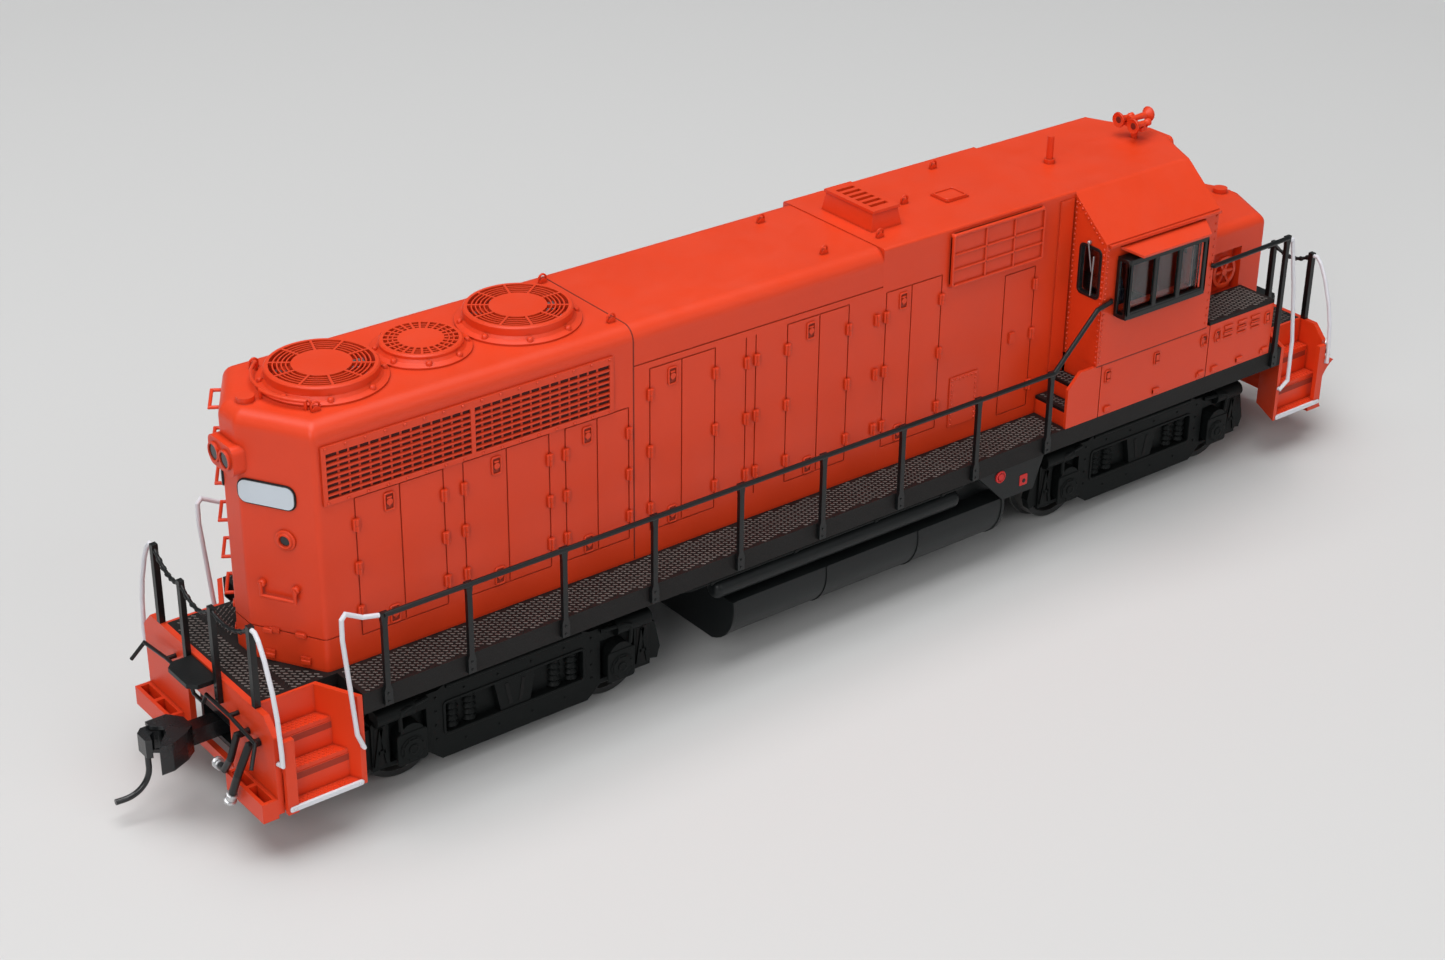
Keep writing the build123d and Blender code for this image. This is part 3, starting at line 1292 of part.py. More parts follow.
rear_face = HOOD_REAR - LAMP_BOX_PROUD
housing = lamp_box(rear_face, HOOD_REAR + 2.2, REAR_LAMP_Z, REAR_LAMP_H)
housing = joined([housing] + barrels(rear_face, -1, REAR_LAMP_Z)) - skin
save(housing, "rear_lamp_housing")
front_face = WINDSHIELD_TIP + LAMP_BOX_PROUD
housing = lamp_box(WINDSHIELD_TIP, front_face, FRONT_LAMP_Z, FRONT_LAMP_H)
save(joined([housing] + barrels(front_face, 1, FRONT_LAMP_Z)), "front_lamp_housing")
lens = lamp_lens(rear_face, -1, REAR_LAMP_Z) + lamp_lens(front_face, 1, FRONT_LAMP_Z)
marker = extrude(rear_plane(MARKER_S, MARKER_Z) * Circle(MARKER_LENS_R), amount=0.25)
save(group(lens + both_sides([marker])), "lamp_lenses")

BOARD_S = 3.75
BOARD_Z = ROOF - 9.85
BOARD_T = 0.3
board = extrude(rear_plane(BOARD_S, BOARD_Z) * RectangleRounded(7.3, 2.85, 1.0), amount=BOARD_T)
front_board = extrude(shield_plane(CAB_ROOF - 2.1, 0) * RectangleRounded(4.6, 1.7, 0.3), amount=BOARD_T)
save(group(both_sides([board, front_board])), "number_boards")


# Fuel tank, air reservoirs and the gusset plates below the sill
TANK_GAP = 8.85
TANK_X = HALF_CENTRES - TRUCK_REACH - TANK_GAP
TANK_HALF = SILL_HALF - 0.89
TANK_LEDGE = SILL_BOTTOM - 5.1
TANK_BOTTOM = SILL_BOTTOM - 12.3
TANK_FLOOR = TANK_HALF - 4.4
TANK_BULGE = TANK_HALF - 0.8
LEDGE_IN = TANK_HALF - 3.0
TANK_NECK = TANK_HALF - 3.6
RESERVOIR_R = 1.4
RESERVOIR_Y = -SILL_HALF + 2.34
RESERVOIR_Z = SILL_BOTTOM - 2.9


def tank():
    x = -TANK_X
    right = ThreePointArc(
        (x, -TANK_HALF, TANK_LEDGE), (x, -TANK_BULGE, TANK_BOTTOM + 2.7), (x, -TANK_FLOOR, TANK_BOTTOM)
    )
    left = ThreePointArc(
        (x, TANK_FLOOR, TANK_BOTTOM), (x, TANK_BULGE, TANK_BOTTOM + 2.7), (x, TANK_HALF, TANK_LEDGE)
    )
    bottom = Line((x, -TANK_FLOOR, TANK_BOTTOM), (x, TANK_FLOOR, TANK_BOTTOM))
    top = Polyline(
        (x, TANK_HALF, TANK_LEDGE),
        (x, LEDGE_IN, TANK_LEDGE),
        (x, TANK_NECK, SILL_BOTTOM),
        (x, -TANK_NECK, SILL_BOTTOM),
        (x, -LEDGE_IN, TANK_LEDGE),
        (x, -TANK_HALF, TANK_LEDGE),
    )
    return extrude(make_face([right, bottom, left, top]), amount=2 * TANK_X, dir=(1, 0, 0))


save(tank(), "fuel_tank")


def reservoir():
    x0 = -TANK_X - 2.5
    x1 = TANK_X - 8.1
    tube = rod((x0, RESERVOIR_Y, RESERVOIR_Z), (x1, RESERVOIR_Y, RESERVOIR_Z), RESERVOIR_R)
    tube = fillet(tube.edges().filter_by(GeomType.CIRCLE), 1.0)
    span = x1 - x0
    low = RESERVOIR_Z + RESERVOIR_R - 0.4
    straps = []
    for share in (0.12, 0.5, 0.86):
        x = x0 + span * share
        straps.append(block(x, x + 0.8, RESERVOIR_Y - 0.45, RESERVOIR_Y + 0.45, low, SILL_BOTTOM))
    return joined([tube] + straps)


right = reservoir()
save(group([right, flip_y(right)]), "air_reservoirs")

GUSSET_T = 0.6
GUSSET_Y = -SILL_HALF + 0.19
GUSSET_LOW = SILL_BOTTOM - 4.9
outline = [
    (TANK_X - 5.9, SILL_BOTTOM),
    (TANK_X - 0.9, GUSSET_LOW),
    (TANK_X + 4.9, GUSSET_LOW),
    (TANK_X + 6.7, SILL_BOTTOM),
]
gusset = along_y(outline, GUSSET_Y, GUSSET_Y + GUSSET_T)
save(group([gusset, flip_y(gusset)]), "sill_gussets")


# Coupler boxes under the end platforms, each with the pin the coupler swings on
BOX_HALF = 4.0
BOX_WALL = 0.6
BOX_GAP = 0.25
PIN_R = 0.7
PIN_GAP = 0.1


def coupler_box():
    x0 = SILL_END - 0.8
    x1 = PLATE_IN - 0.1
    top = COUPLER_Z + SHANK_H / 2 + BOX_GAP
    bottom = COUPLER_Z - SHANK_H / 2 - BOX_GAP
    pieces = [block(x0, x1, -BOX_HALF, BOX_HALF, top, SILL_BOTTOM)]
    pieces.append(block(SILL_END, x1, -BOX_HALF, BOX_HALF, SILL_BOTTOM, PLATFORM_BOTTOM))
    pieces.append(block(x0, x1, -BOX_HALF, BOX_HALF, bottom - 0.7, bottom))
    pieces.append(block(x0, x1, -BOX_HALF, -BOX_HALF + BOX_WALL, bottom, top))
    pieces.append(block(x0, x1, BOX_HALF - BOX_WALL, BOX_HALF, bottom, top))
    pieces.append(rod((COUPLER_PIVOT, 0, bottom), (COUPLER_PIVOT, 0, top), PIN_R))
    return joined(pieces)


box = coupler_box()
save(group([box, turn(box)]), "coupler_boxes")


# Couplers: shank and jaw, with a slot for the knuckle and the pin it opens on
HEAD_Z0 = COUPLER_Z - HEAD_H / 2
HEAD_Z1 = COUPLER_Z + HEAD_H / 2
LUG = 0.5
KNUCKLE_GAP = 0.15
KNUCKLE_PIN = 0.35
HEAD_BACK = COUPLER_FACE - 5.7
HEAD_CHEEK = COUPLER_FACE - 4.3


def coupler():
    x0 = COUPLER_PIVOT - 1.6
    low = COUPLER_Z - SHANK_H / 2
    shank = block(x0, HEAD_BACK + 0.8, -SHANK_HALF, SHANK_HALF, low, low + SHANK_H)
    shank -= rod((COUPLER_PIVOT, 0, low - 1), (COUPLER_PIVOT, 0, low + SHANK_H + 1), PIN_R + PIN_GAP)
    plan = [
        (HEAD_BACK, SHANK_HALF),
        (HEAD_CHEEK, HEAD_HALF - 1.1),
        (COUPLER_FACE - 1.9, HEAD_HALF),
        (COUPLER_FACE - 0.2, HEAD_HALF),
        (COUPLER_FACE - 1.4, HEAD_HALF - 1.6),
        (COUPLER_FACE - 2.4, 0.8),
        (COUPLER_FACE - 2.8, -0.6),
        (COUPLER_FACE - 1.5, KNUCKLE_Y + 0.4),
        (COUPLER_FACE - 1.5, KNUCKLE_Y - 0.9),
        (HEAD_CHEEK, KNUCKLE_Y - 0.9),
        (HEAD_BACK, -SHANK_HALF),
    ]
    head = prism(plan, HEAD_Z0, HEAD_Z1)
    room = [(-1.2, -1.4), (-1.2, 0.9), (-0.3, 1.3), (3, 3), (3, -3), (0, -3)]
    head -= Pos(KNUCKLE_X, KNUCKLE_Y, 0) * prism(room, HEAD_Z0 + LUG, HEAD_Z1 - LUG)
    pin = rod((KNUCKLE_X, KNUCKLE_Y, HEAD_Z0), (KNUCKLE_X, KNUCKLE_Y, HEAD_Z1), KNUCKLE_PIN)
    return joined([shank, head, pin])


# Knuckles: the hooked jaw with its curved trip pin
TRIP_R = 0.38
TRIP_X = COUPLER_FACE - 1.0
TRIP_BEND = COUPLER_Z - 3.92
TRIP_ARC = 3.5
TRIP_TAIL = 1.1


def knuckle():
    z0 = HEAD_Z0 + LUG + KNUCKLE_GAP
    z1 = HEAD_Z1 - LUG - KNUCKLE_GAP
    hub = rod((KNUCKLE_X, KNUCKLE_Y, z0), (KNUCKLE_X, KNUCKLE_Y, z1), 0.9)
    plan = [
        (KNUCKLE_X, KNUCKLE_Y - 0.9),
        (COUPLER_FACE - 0.8, KNUCKLE_Y - 0.9),
        (COUPLER_FACE, KNUCKLE_Y - 0.1),
        (COUPLER_FACE, KNUCKLE_Y + 2.0),
        (COUPLER_FACE - 0.7, KNUCKLE_Y + 2.4),
        (COUPLER_FACE - 1.0, KNUCKLE_Y + 1.2),
        (COUPLER_FACE - 1.7, KNUCKLE_Y + 0.7),
        (KNUCKLE_X, KNUCKLE_Y + 0.9),
    ]
    shape = joined([hub, prism(plan, z0, z1)])
    shape -= rod((KNUCKLE_X, KNUCKLE_Y, z0 - 1), (KNUCKLE_X, KNUCKLE_Y, z1 + 1), KNUCKLE_PIN + 0.08)
    way = Vector(4.6, -0.4, 0).normalized()
    start = Vector(TRIP_X, KNUCKLE_Y, z0 + 0.3)
    bend = Vector(TRIP_X, KNUCKLE_Y, TRIP_BEND)
    rise = TRIP_ARC * math.sin(math.radians(45))
    middle = bend + way * (TRIP_ARC - rise) - Vector(0, 0, rise)
    foot = bend + way * TRIP_ARC - Vector(0, 0, TRIP_ARC)
    legs = [Edge.make_line(start, bend), Edge.make_three_point_arc(bend, middle, foot)]
    legs.append(Edge.make_line(foot, foot + way * TRIP_TAIL))
    trip = sweep(Plane(origin=start, z_dir=(0, 0, -1)) * Circle(TRIP_R), path=Wire(legs))
    return shape + trip


front = coupler()
save(front, "coupler_front")
save(turn(front), "coupler_rear")
front = knuckle()
save(front, "knuckle_front")
save(turn(front), "knuckle_rear")


# Air hoses: out from the end plate, y and z from the deck for each bend, and the radius
HOSE_END = 1.0
REAR_HOSES = [
    ([(0, 10.2, 4.1), (1.6, 10.2, 4.1), (2.3, 9.4, 7.6), (2.2, 7.4, 10.2), (1.9, 5.9, 10.6)], 0.45),
    ([(0, 12.7, 4.3), (1.4, 12.7, 4.3), (2.8, 12.0, 8.3), (3.1, 10.8, 11.3)], 0.5),
]
FRONT_HOSES = [
    ([(0, -9.6, 3.9), (2.2, -9.6, 3.9), (4.6, -9.0, 5.8)], 0.45),
    ([(0, -12.0, 4.2), (2.2, -12.0, 4.2), (4.8, -11.4, 5.8)], 0.5),
]


def hose_set(rows):
    tubes = []
    ends = []
    for bends, radius in rows:
        points = [(PLATE_OUT + out, y, DECK - drop) for out, y, drop in bends]
        tubes.append(pipe(points, radius))
        last = Vector(*points[-1])
        way = (last - Vector(*points[-2])).normalized()
        ends.append(rod(tuple(last), tuple(last + way * HOSE_END), radius + 0.12))
    return tubes, ends


front_tubes, front_ends = hose_set(FRONT_HOSES)
rear_tubes, rear_ends = hose_set(REAR_HOSES)
save(group(front_tubes + [turn(t) for t in rear_tubes]), "air_hoses")
save(group(front_ends + [turn(e) for e in rear_ends]), "hose_ends")


# Cut levers along the end plates, dipped over the coupler, and the drop steps above it
LEVER_OUT = 1.2
LEVER_R = 0.25
LEVER_Z = DECK - 2.74
LEVER_BRACKET = 7.9
LEVER_DIP = 1.6


def cut_lever():
    x = PLATE_OUT + LEVER_OUT
    half = [
        (x + 1.4, PLATE_HALF - 1.0, LEVER_Z - 3.2),
        (x, PLATE_HALF - 2.2, LEVER_Z - 0.7),
        (x, LEVER_BRACKET, LEVER_Z),
        (x, 2.2, LEVER_Z),
        (x, 1.2, LEVER_Z - LEVER_DIP),
    ]
    run = [(x, -y, z) for x, y, z in half] + list(reversed(half))
    brackets = [rod((PLATE_OUT, y, LEVER_Z), (x, y, LEVER_Z), 0.3) for y in (-LEVER_BRACKET, LEVER_BRACKET)]
    return joined([pipe(run, LEVER_R)] + brackets)


DROP_HALF = INNER_POST_Y - END_POST_HALF - 0.1
DROP_OUT = 3.7
DROP_T = 0.6
DROP_Z = DECK - 0.9


def drop_step():
    x1 = PLATE_OUT + DROP_OUT
    plan = [
        (PLATE_OUT, -DROP_HALF),
        (x1 - 1.0, -DROP_HALF),
        (x1, -DROP_HALF + 1.0),
        (x1, DROP_HALF - 1.0),
        (x1 - 1.0, DROP_HALF),
        (PLATE_OUT, DROP_HALF),
    ]
    return prism(plan, DROP_Z, DROP_Z + DROP_T)


lever = cut_lever()
save(group([lever, turn(lever)]), "cut_levers")
step = drop_step()
save(group([step, turn(step)]), "drop_steps")


# Horn and antenna on the cab roof
HORN_X = CAB_FRONT - 0.4
HORN_H = 2.1
TRUMPETS = [(-1.6, 3.2, -1), (0.0, 4.0, 1), (1.6, 2.8, -1)]
ANTENNA_X = CAB_REAR + 5.1
ANTENNA_H = 4.0


def trumpet(length):
    edge = [(0, 0), (0.55, 0), (0.55, 0.5), (0.4, 0.9), (0.5, length - 0.8), (1.15, length), (0, length)]
    return revolve(Plane.XZ * make_face(Polyline(*edge, close=True)), axis=Axis.Z)


def horn():
    top = CAB_ROOF + HORN_H
    pieces = [rod((HORN_X, 0, CAB_ROOF), (HORN_X, 0, top - 0.2), 0.5)]
    pieces.append(block(HORN_X - 0.6, HORN_X + 0.6, -1.9, 1.9, top - 0.6, top))
    for y, length, way in TRUMPETS:
        z = top + (0.9 if way > 0 else 0.5)
        pieces.append(Pos(HORN_X - way * length * 0.35, y, z) * Rot(0, 90 * way, 0) * trumpet(length))
        pieces.append(rod((HORN_X, y, top - 0.3), (HORN_X, y, z), 0.35))
    return joined(pieces)


save(horn(), "horn")
save(disc(ANTENNA_X, 0, CAB_ROOF, 0.8, 0.6) + disc(ANTENNA_X, 0, CAB_ROOF, 0.5, ANTENNA_H), "antenna")

# Inner weight: the cast block that fills most of the hood
WEIGHT_HALF = HOOD_HALF - HOOD_WALL - 0.66
WEIGHT_X0 = HOOD_CORNER + 19.0
WEIGHT_X1 = CAB_REAR - 3.9
save(block(WEIGHT_X0, WEIGHT_X1, -WEIGHT_HALF, WEIGHT_HALF, DECK, ROOF - 8.0), "inner_weight")
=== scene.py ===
# %% [markdown]
# # A model road-switcher locomotive
# This notebook dresses a small railway model: an orange-red moulded body on a black
# underframe with two four-wheel trucks. The solids come in as a fixed frame, already in
# metres, with +X towards the cab end, +Y to the left side and +Z up. Every finish and every
# small added piece is made here.

# %% Load the frame
import json
import math
import bpy
import numpy as np
from mathutils import Matrix, Vector


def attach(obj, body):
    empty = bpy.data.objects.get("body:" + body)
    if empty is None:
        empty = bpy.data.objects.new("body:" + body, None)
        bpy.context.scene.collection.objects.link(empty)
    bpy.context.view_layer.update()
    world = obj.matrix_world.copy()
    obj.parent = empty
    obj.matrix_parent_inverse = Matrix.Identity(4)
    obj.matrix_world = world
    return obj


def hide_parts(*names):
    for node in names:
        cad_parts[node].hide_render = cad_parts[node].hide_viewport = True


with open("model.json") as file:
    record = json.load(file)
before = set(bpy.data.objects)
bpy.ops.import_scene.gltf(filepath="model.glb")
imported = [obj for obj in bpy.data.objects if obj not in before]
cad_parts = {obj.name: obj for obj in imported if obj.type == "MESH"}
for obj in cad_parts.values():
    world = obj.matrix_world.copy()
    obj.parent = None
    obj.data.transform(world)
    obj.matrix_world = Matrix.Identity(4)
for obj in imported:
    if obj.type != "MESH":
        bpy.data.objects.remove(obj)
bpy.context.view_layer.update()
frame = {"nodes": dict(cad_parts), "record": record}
MM = 0.001
nodes = frame["nodes"]

# %% [markdown]
# ## Camera
# The camera looks down on the rear right corner. Its place was solved from the wheelbase and
# the truck centres, so it is written as a target, two angles, a small roll and a distance.
# A long lens is set from the focal length in pixels of a picture 1445 pixels wide.

# %% Place the camera
PICTURE_W = 1445
FOCAL_PX = 2592.06
AZIMUTH, ELEVATION, ROLL = np.radians([-38.268, 28.067, 0.741])
TARGET = np.array([-20.82, -9.344, 25.6]) * MM
DISTANCE = 338.75 * MM

back = np.array([math.sin(AZIMUTH) * math.cos(ELEVATION), -math.cos(AZIMUTH) * math.cos(ELEVATION),
                 math.sin(ELEVATION)])
right = np.array([math.cos(AZIMUTH), math.sin(AZIMUTH), 0.0])
up = np.cross(back, right)
right, up = math.cos(ROLL) * right + math.sin(ROLL) * up, math.cos(ROLL) * up - math.sin(ROLL) * right
camera_data = bpy.data.cameras.new("camera")
camera_data.sensor_fit = "HORIZONTAL"
camera_data.sensor_width = 36.0
camera_data.lens = FOCAL_PX / PICTURE_W * camera_data.sensor_width
camera_data.clip_start = 0.01
camera = bpy.data.objects.new("camera", camera_data)
pose = Matrix([list(r) for r in np.column_stack([right, up, back])]).to_4x4()
pose.translation = Vector(TARGET + back * DISTANCE)
camera.matrix_world = pose
bpy.context.collection.objects.link(camera)
bpy.context.scene.camera = camera
print("lens:", round(camera_data.lens, 2), "mm")

# %% [markdown]
# ## Helpers for nodes
# Every material is built from nodes, and the same few moves come back each time: start a
# material, set a node's sockets by name, and carry one range of values to another. Three short
# functions do that, so the later cells say only what is special to them.

# %% Node helpers
def new_material(name):
    """An empty material with its node tree and its Principled shader."""
    m = bpy.data.materials.new(name)
    m.use_nodes = True
    return m, m.node_tree, m.node_tree.nodes["Principled BSDF"]


def node(tree, kind, **values):
    """A node with its sockets and settings given by name."""
    n = tree.nodes.new(kind)
    for key, value in values.items():
        if key in n.inputs:
            n.inputs[key].default_value = value
        else:
            setattr(n, key, value)
    return n


def span(tree, source, low, high, start, end):
    """A Map Range node that carries low..high of the source to start..end, clamped."""
    m = node(tree, "ShaderNodeMapRange", clamp=True)
    for label, value in (("From Min", low), ("From Max", high), ("To Min", start), ("To Max", end)):
        m.inputs[label].default_value = value
    tree.links.new(source, m.inputs["Value"])
    return m.outputs["Result"]


print("node helpers ready")

# %% [markdown]
# ## Floor and light
# The model stands on a plain pale floor that runs up into a backdrop. One large soft lamp
# hangs overhead, so that the roof is the brightest part and the overhangs shade what lies
# under them, and two weaker ones light the rear end and the near side. Far off, the floor and
# the sky are made paler for the camera's own rays only, so that this adds no light to the model.

# %% Make the floor and the lamps
GLOW_FROM, GLOW_TO = 0.3, 1.6
FLOOR_HALF, FLOOR_FRONT, BEND_START, BEND_R, WALL_TOP = 4.0, -3.0, 2.0, 0.8, 3.0
LAMP_AIM = (0, 0, 0.03)
SKY_LIGHT, SKY_SEEN = 0.2, 0.75


def floor_material(name, colour, roughness, far_glow):
    """One plain colour; far from the model the camera, and nothing else, sees it a little brighter."""
    m, t, p = new_material(name)
    p.inputs["Base Color"].default_value = (*colour, 1)
    p.inputs["Roughness"].default_value = roughness
    p.inputs["Emission Color"].default_value = (1, 1, 1, 1)
    length = node(t, "ShaderNodeVectorMath", operation="LENGTH")
    t.links.new(node(t, "ShaderNodeTexCoord").outputs["Object"], length.inputs[0])
    seen = node(t, "ShaderNodeMath", operation="MULTIPLY")
    t.links.new(span(t, length.outputs["Value"], GLOW_FROM, GLOW_TO, 0.0, far_glow), seen.inputs[0])
    t.links.new(node(t, "ShaderNodeLightPath").outputs["Is Camera Ray"], seen.inputs[1])
    t.links.new(seen.outputs["Value"], p.inputs["Emission Strength"])
    return m


def sweep_floor():
    """A floor that bends up into a wall: a line of (y, z) points carried along x."""
    t = np.linspace(0, np.pi / 2, 13)
    y = np.concatenate([[FLOOR_FRONT], BEND_START + BEND_R * np.sin(t), [BEND_START + BEND_R]])
    z = np.concatenate([[0.0], BEND_R - BEND_R * np.cos(t), [WALL_TOP]])
    x = np.array([-FLOOR_HALF, FLOOR_HALF])
    grid = np.stack(np.broadcast_arrays(x[:, None], y[None], z[None]), -1).reshape(-1, 3)
    n = len(y)
    i = np.arange(n - 1)
    faces = np.stack([i, i + n, i + n + 1, i + 1], 1)
    mesh = bpy.data.meshes.new("floor")
    mesh.from_pydata(grid.tolist(), [], faces.tolist())
    mesh.shade_smooth()
    return bpy.data.objects.new("floor", mesh)


floor = sweep_floor()
floor.rotation_euler = (0, 0, AZIMUTH)
floor.data.materials.append(floor_material("pale_floor", (0.62, 0.62, 0.615), 0.85, 0.62))
bpy.context.collection.objects.link(floor)


def area_lamp(name, place, size, power):
    """A square soft lamp at place that faces the model."""
    data = bpy.data.lights.new(name, "AREA")
    data.size = size
    data.energy = power
    lamp = bpy.data.objects.new(name, data)
    lamp.location = place
    lamp.rotation_euler = (Vector(LAMP_AIM) - Vector(place)).to_track_quat("-Z", "Y").to_euler()
    bpy.context.collection.objects.link(lamp)


area_lamp("overhead_lamp", (-0.12, 0.0, 0.9), 0.8, 8.2)
area_lamp("rear_lamp", (-0.8, -0.5, 0.55), 0.5, 3.4)
area_lamp("side_lamp", (0.2, -0.9, 0.5), 0.6, 1.6)
world = bpy.data.worlds.new("studio")
bpy.context.scene.world = world
world.use_nodes = True
sky_tree = world.node_tree
sky = sky_tree.nodes["Background"]
sky.inputs["Color"].default_value = (0.82, 0.84, 0.87, 1)
by_camera = node(sky_tree, "ShaderNodeLightPath").outputs["Is Camera Ray"]
sky_tree.links.new(span(sky_tree, by_camera, 0.0, 1.0, SKY_LIGHT, SKY_SEEN), sky.inputs["Strength"])
bpy.context.scene.view_settings.view_transform = "Standard"
print("stage ready")

# %% [markdown]
# ## Shared effects
# Moulded plastic is never one flat colour. It has a fine grain, a slow drift in gloss and a little
# dust on what faces up; here its edges also get a painted highlight and its crevices painted shade.
# Each of these could be painted by hand, but as node groups with named sockets they are built once
# and every finish sets its own values.

# %% Group helper
F, V = "NodeSocketFloat", "NodeSocketVector"


def new_group(name, inputs, outputs):
    """An empty shader group; inputs are (name, socket type, default) rows and outputs (name, type)."""
    g = bpy.data.node_groups.new(name, "ShaderNodeTree")
    for label, kind, value in inputs:
        g.interface.new_socket(label, in_out="INPUT", socket_type=kind).default_value = value
    for label, kind in outputs:
        g.interface.new_socket(label, in_out="OUTPUT", socket_type=kind)
    return g, g.nodes.new("NodeGroupInput"), g.nodes.new("NodeGroupOutput")


print("group helper ready")

# %% [markdown]
# ### Grain, edge highlight, dust and crevice shade
# The grain group gives two noises: a fine one for bump and a broad one for tone and gloss. The
# edge group compares the true normal with a rounded one from the Bevel node: they differ only
# near an edge, so one minus their dot product marks it; the finishes paint a highlight there. The
# dust group looks for faces whose normal points up and breaks that mask with noise. The crevice
# group asks how much of the nearest half millimetre is hidden by other surfaces, which is high in
# a seam and beside a hinge; the finishes paint shade there.

# %% Build the groups
def make_grain():
    """Two noises on object coordinates at different scales."""
    g, gin, gout = new_group("moulded_grain", [("Grain Scale", F, 3000.0), ("Cloud Scale", F, 60.0)],
                             [("Grain", F), ("Cloud", F)])
    coord = node(g, "ShaderNodeTexCoord")
    for label, detail in (("Grain", 3.0), ("Cloud", 4.0)):
        noise = node(g, "ShaderNodeTexNoise", Detail=detail, Roughness=0.6)
        g.links.new(coord.outputs["Object"], noise.inputs["Vector"])
        g.links.new(gin.outputs[label + " Scale"], noise.inputs["Scale"])
        g.links.new(noise.outputs["Fac"], gout.inputs[label])
    return g


def make_edge_highlight():
    """Edge = 1 - (rounded normal . true normal), stretched to 0..1; the rounded normal goes out too."""
    # The edge mask carries a painted highlight in every moulded finish.
    g, gin, gout = new_group("painted_edge_highlight", [("Width", F, 0.00005)], [("Edge", F), ("Normal", V)])
    round_normal = node(g, "ShaderNodeBevel", samples=3)
    true_normal = node(g, "ShaderNodeNewGeometry")
    dot = node(g, "ShaderNodeVectorMath", operation="DOT_PRODUCT")
    g.links.new(gin.outputs["Width"], round_normal.inputs["Radius"])
    g.links.new(round_normal.outputs["Normal"], dot.inputs[0])
    g.links.new(true_normal.outputs["Normal"], dot.inputs[1])
    g.links.new(span(g, dot.outputs["Value"], 0.99, 0.80, 0.0, 1.0), gout.inputs["Edge"])
    g.links.new(round_normal.outputs["Normal"], gout.inputs["Normal"])
    return g


def make_dust():
    """Dust = how far the normal points up, times a patchy noise."""
    g, gin, gout = new_group("settled_dust", [("Patch Scale", F, 220.0)], [("Dust", F)])
    coord = node(g, "ShaderNodeTexCoord")
    parts = node(g, "ShaderNodeSeparateXYZ")
    noise = node(g, "ShaderNodeTexNoise", Detail=5.0, Roughness=0.65)
    g.links.new(coord.outputs["Normal"], parts.inputs["Vector"])
    g.links.new(coord.outputs["Object"], noise.inputs["Vector"])
    g.links.new(gin.outputs["Patch Scale"], noise.inputs["Scale"])
    both = node(g, "ShaderNodeMath", operation="MULTIPLY")
    g.links.new(span(g, parts.outputs["Z"], 0.3, 0.95, 0.0, 1.0), both.inputs[0])
    g.links.new(span(g, noise.outputs["Fac"], 0.35, 0.75, 0.0, 1.0), both.inputs[1])
    g.links.new(both.outputs["Value"], gout.inputs["Dust"])
    return g


def make_crevice_shade():
    """Crevice = 1 - ambient occlusion within a short reach, stretched: seams and inner corners go to 1."""
    # The crevice mask carries painted shade in every moulded finish.
    g, gin, gout = new_group("painted_crevice_shade", [("Reach", F, 0.0005)], [("Crevice", F)])
    near = node(g, "ShaderNodeAmbientOcclusion", samples=3)
    g.links.new(gin.outputs["Reach"], near.inputs["Distance"])
    g.links.new(span(g, near.outputs["AO"], 0.92, 0.35, 0.0, 1.0), gout.inputs["Crevice"])
    return g


effects = {"grain": make_grain(), "edges": make_edge_highlight(), "dust": make_dust(), "crevice": make_crevice_shade()}
print("groups:", sorted(effects))

# %% [markdown]
# ## Finishes
# One function puts the four effects round a Principled shader. The body colour is an
# orange-red with a half gloss, the underframe and trucks are satin black, the walkways a brown
# black, and the couplers a blackened metal. A row gives the light and dark tone, the roughness
# and its spread, the bump, the colour of the painted edge highlight, and then dust, shine and
# metal where they differ.

# %% Moulded finishes
def effect(tree, name, **values):
    """A placed copy of one of the groups, with its inputs set."""
    g = node(tree, "ShaderNodeGroup", node_tree=effects[name])
    for label, value in values.items():
        g.inputs[label.replace("_", " ")].default_value = value
    return g


def blend_colour(tree, share, first, second):
    """Mix two colours by a mask; each colour is a socket or a plain colour."""
    mix = node(tree, "ShaderNodeMix", data_type="RGBA", blend_type="MIX")
    tree.links.new(share, mix.inputs["Factor"])
    for socket, value in ((mix.inputs[6], first), (mix.inputs[7], second)):
        if isinstance(value, tuple):
            socket.default_value = (*value, 1)
        else:
            tree.links.new(value, socket)
    return mix.outputs[2]


# Shares of the painted edge highlight and of the painted crevice shade, and how dark that shade is.
EDGE_HIGHLIGHT_SHARE, CREVICE_SHADE_SHARE, CREVICE_SHADE_TONE = 0.4, 0.7, 0.4
DUST_TONE = (0.42, 0.38, 0.34)
GRAIN_DEPTH, RIPPLE_DEPTH = 0.00005, 0.00003


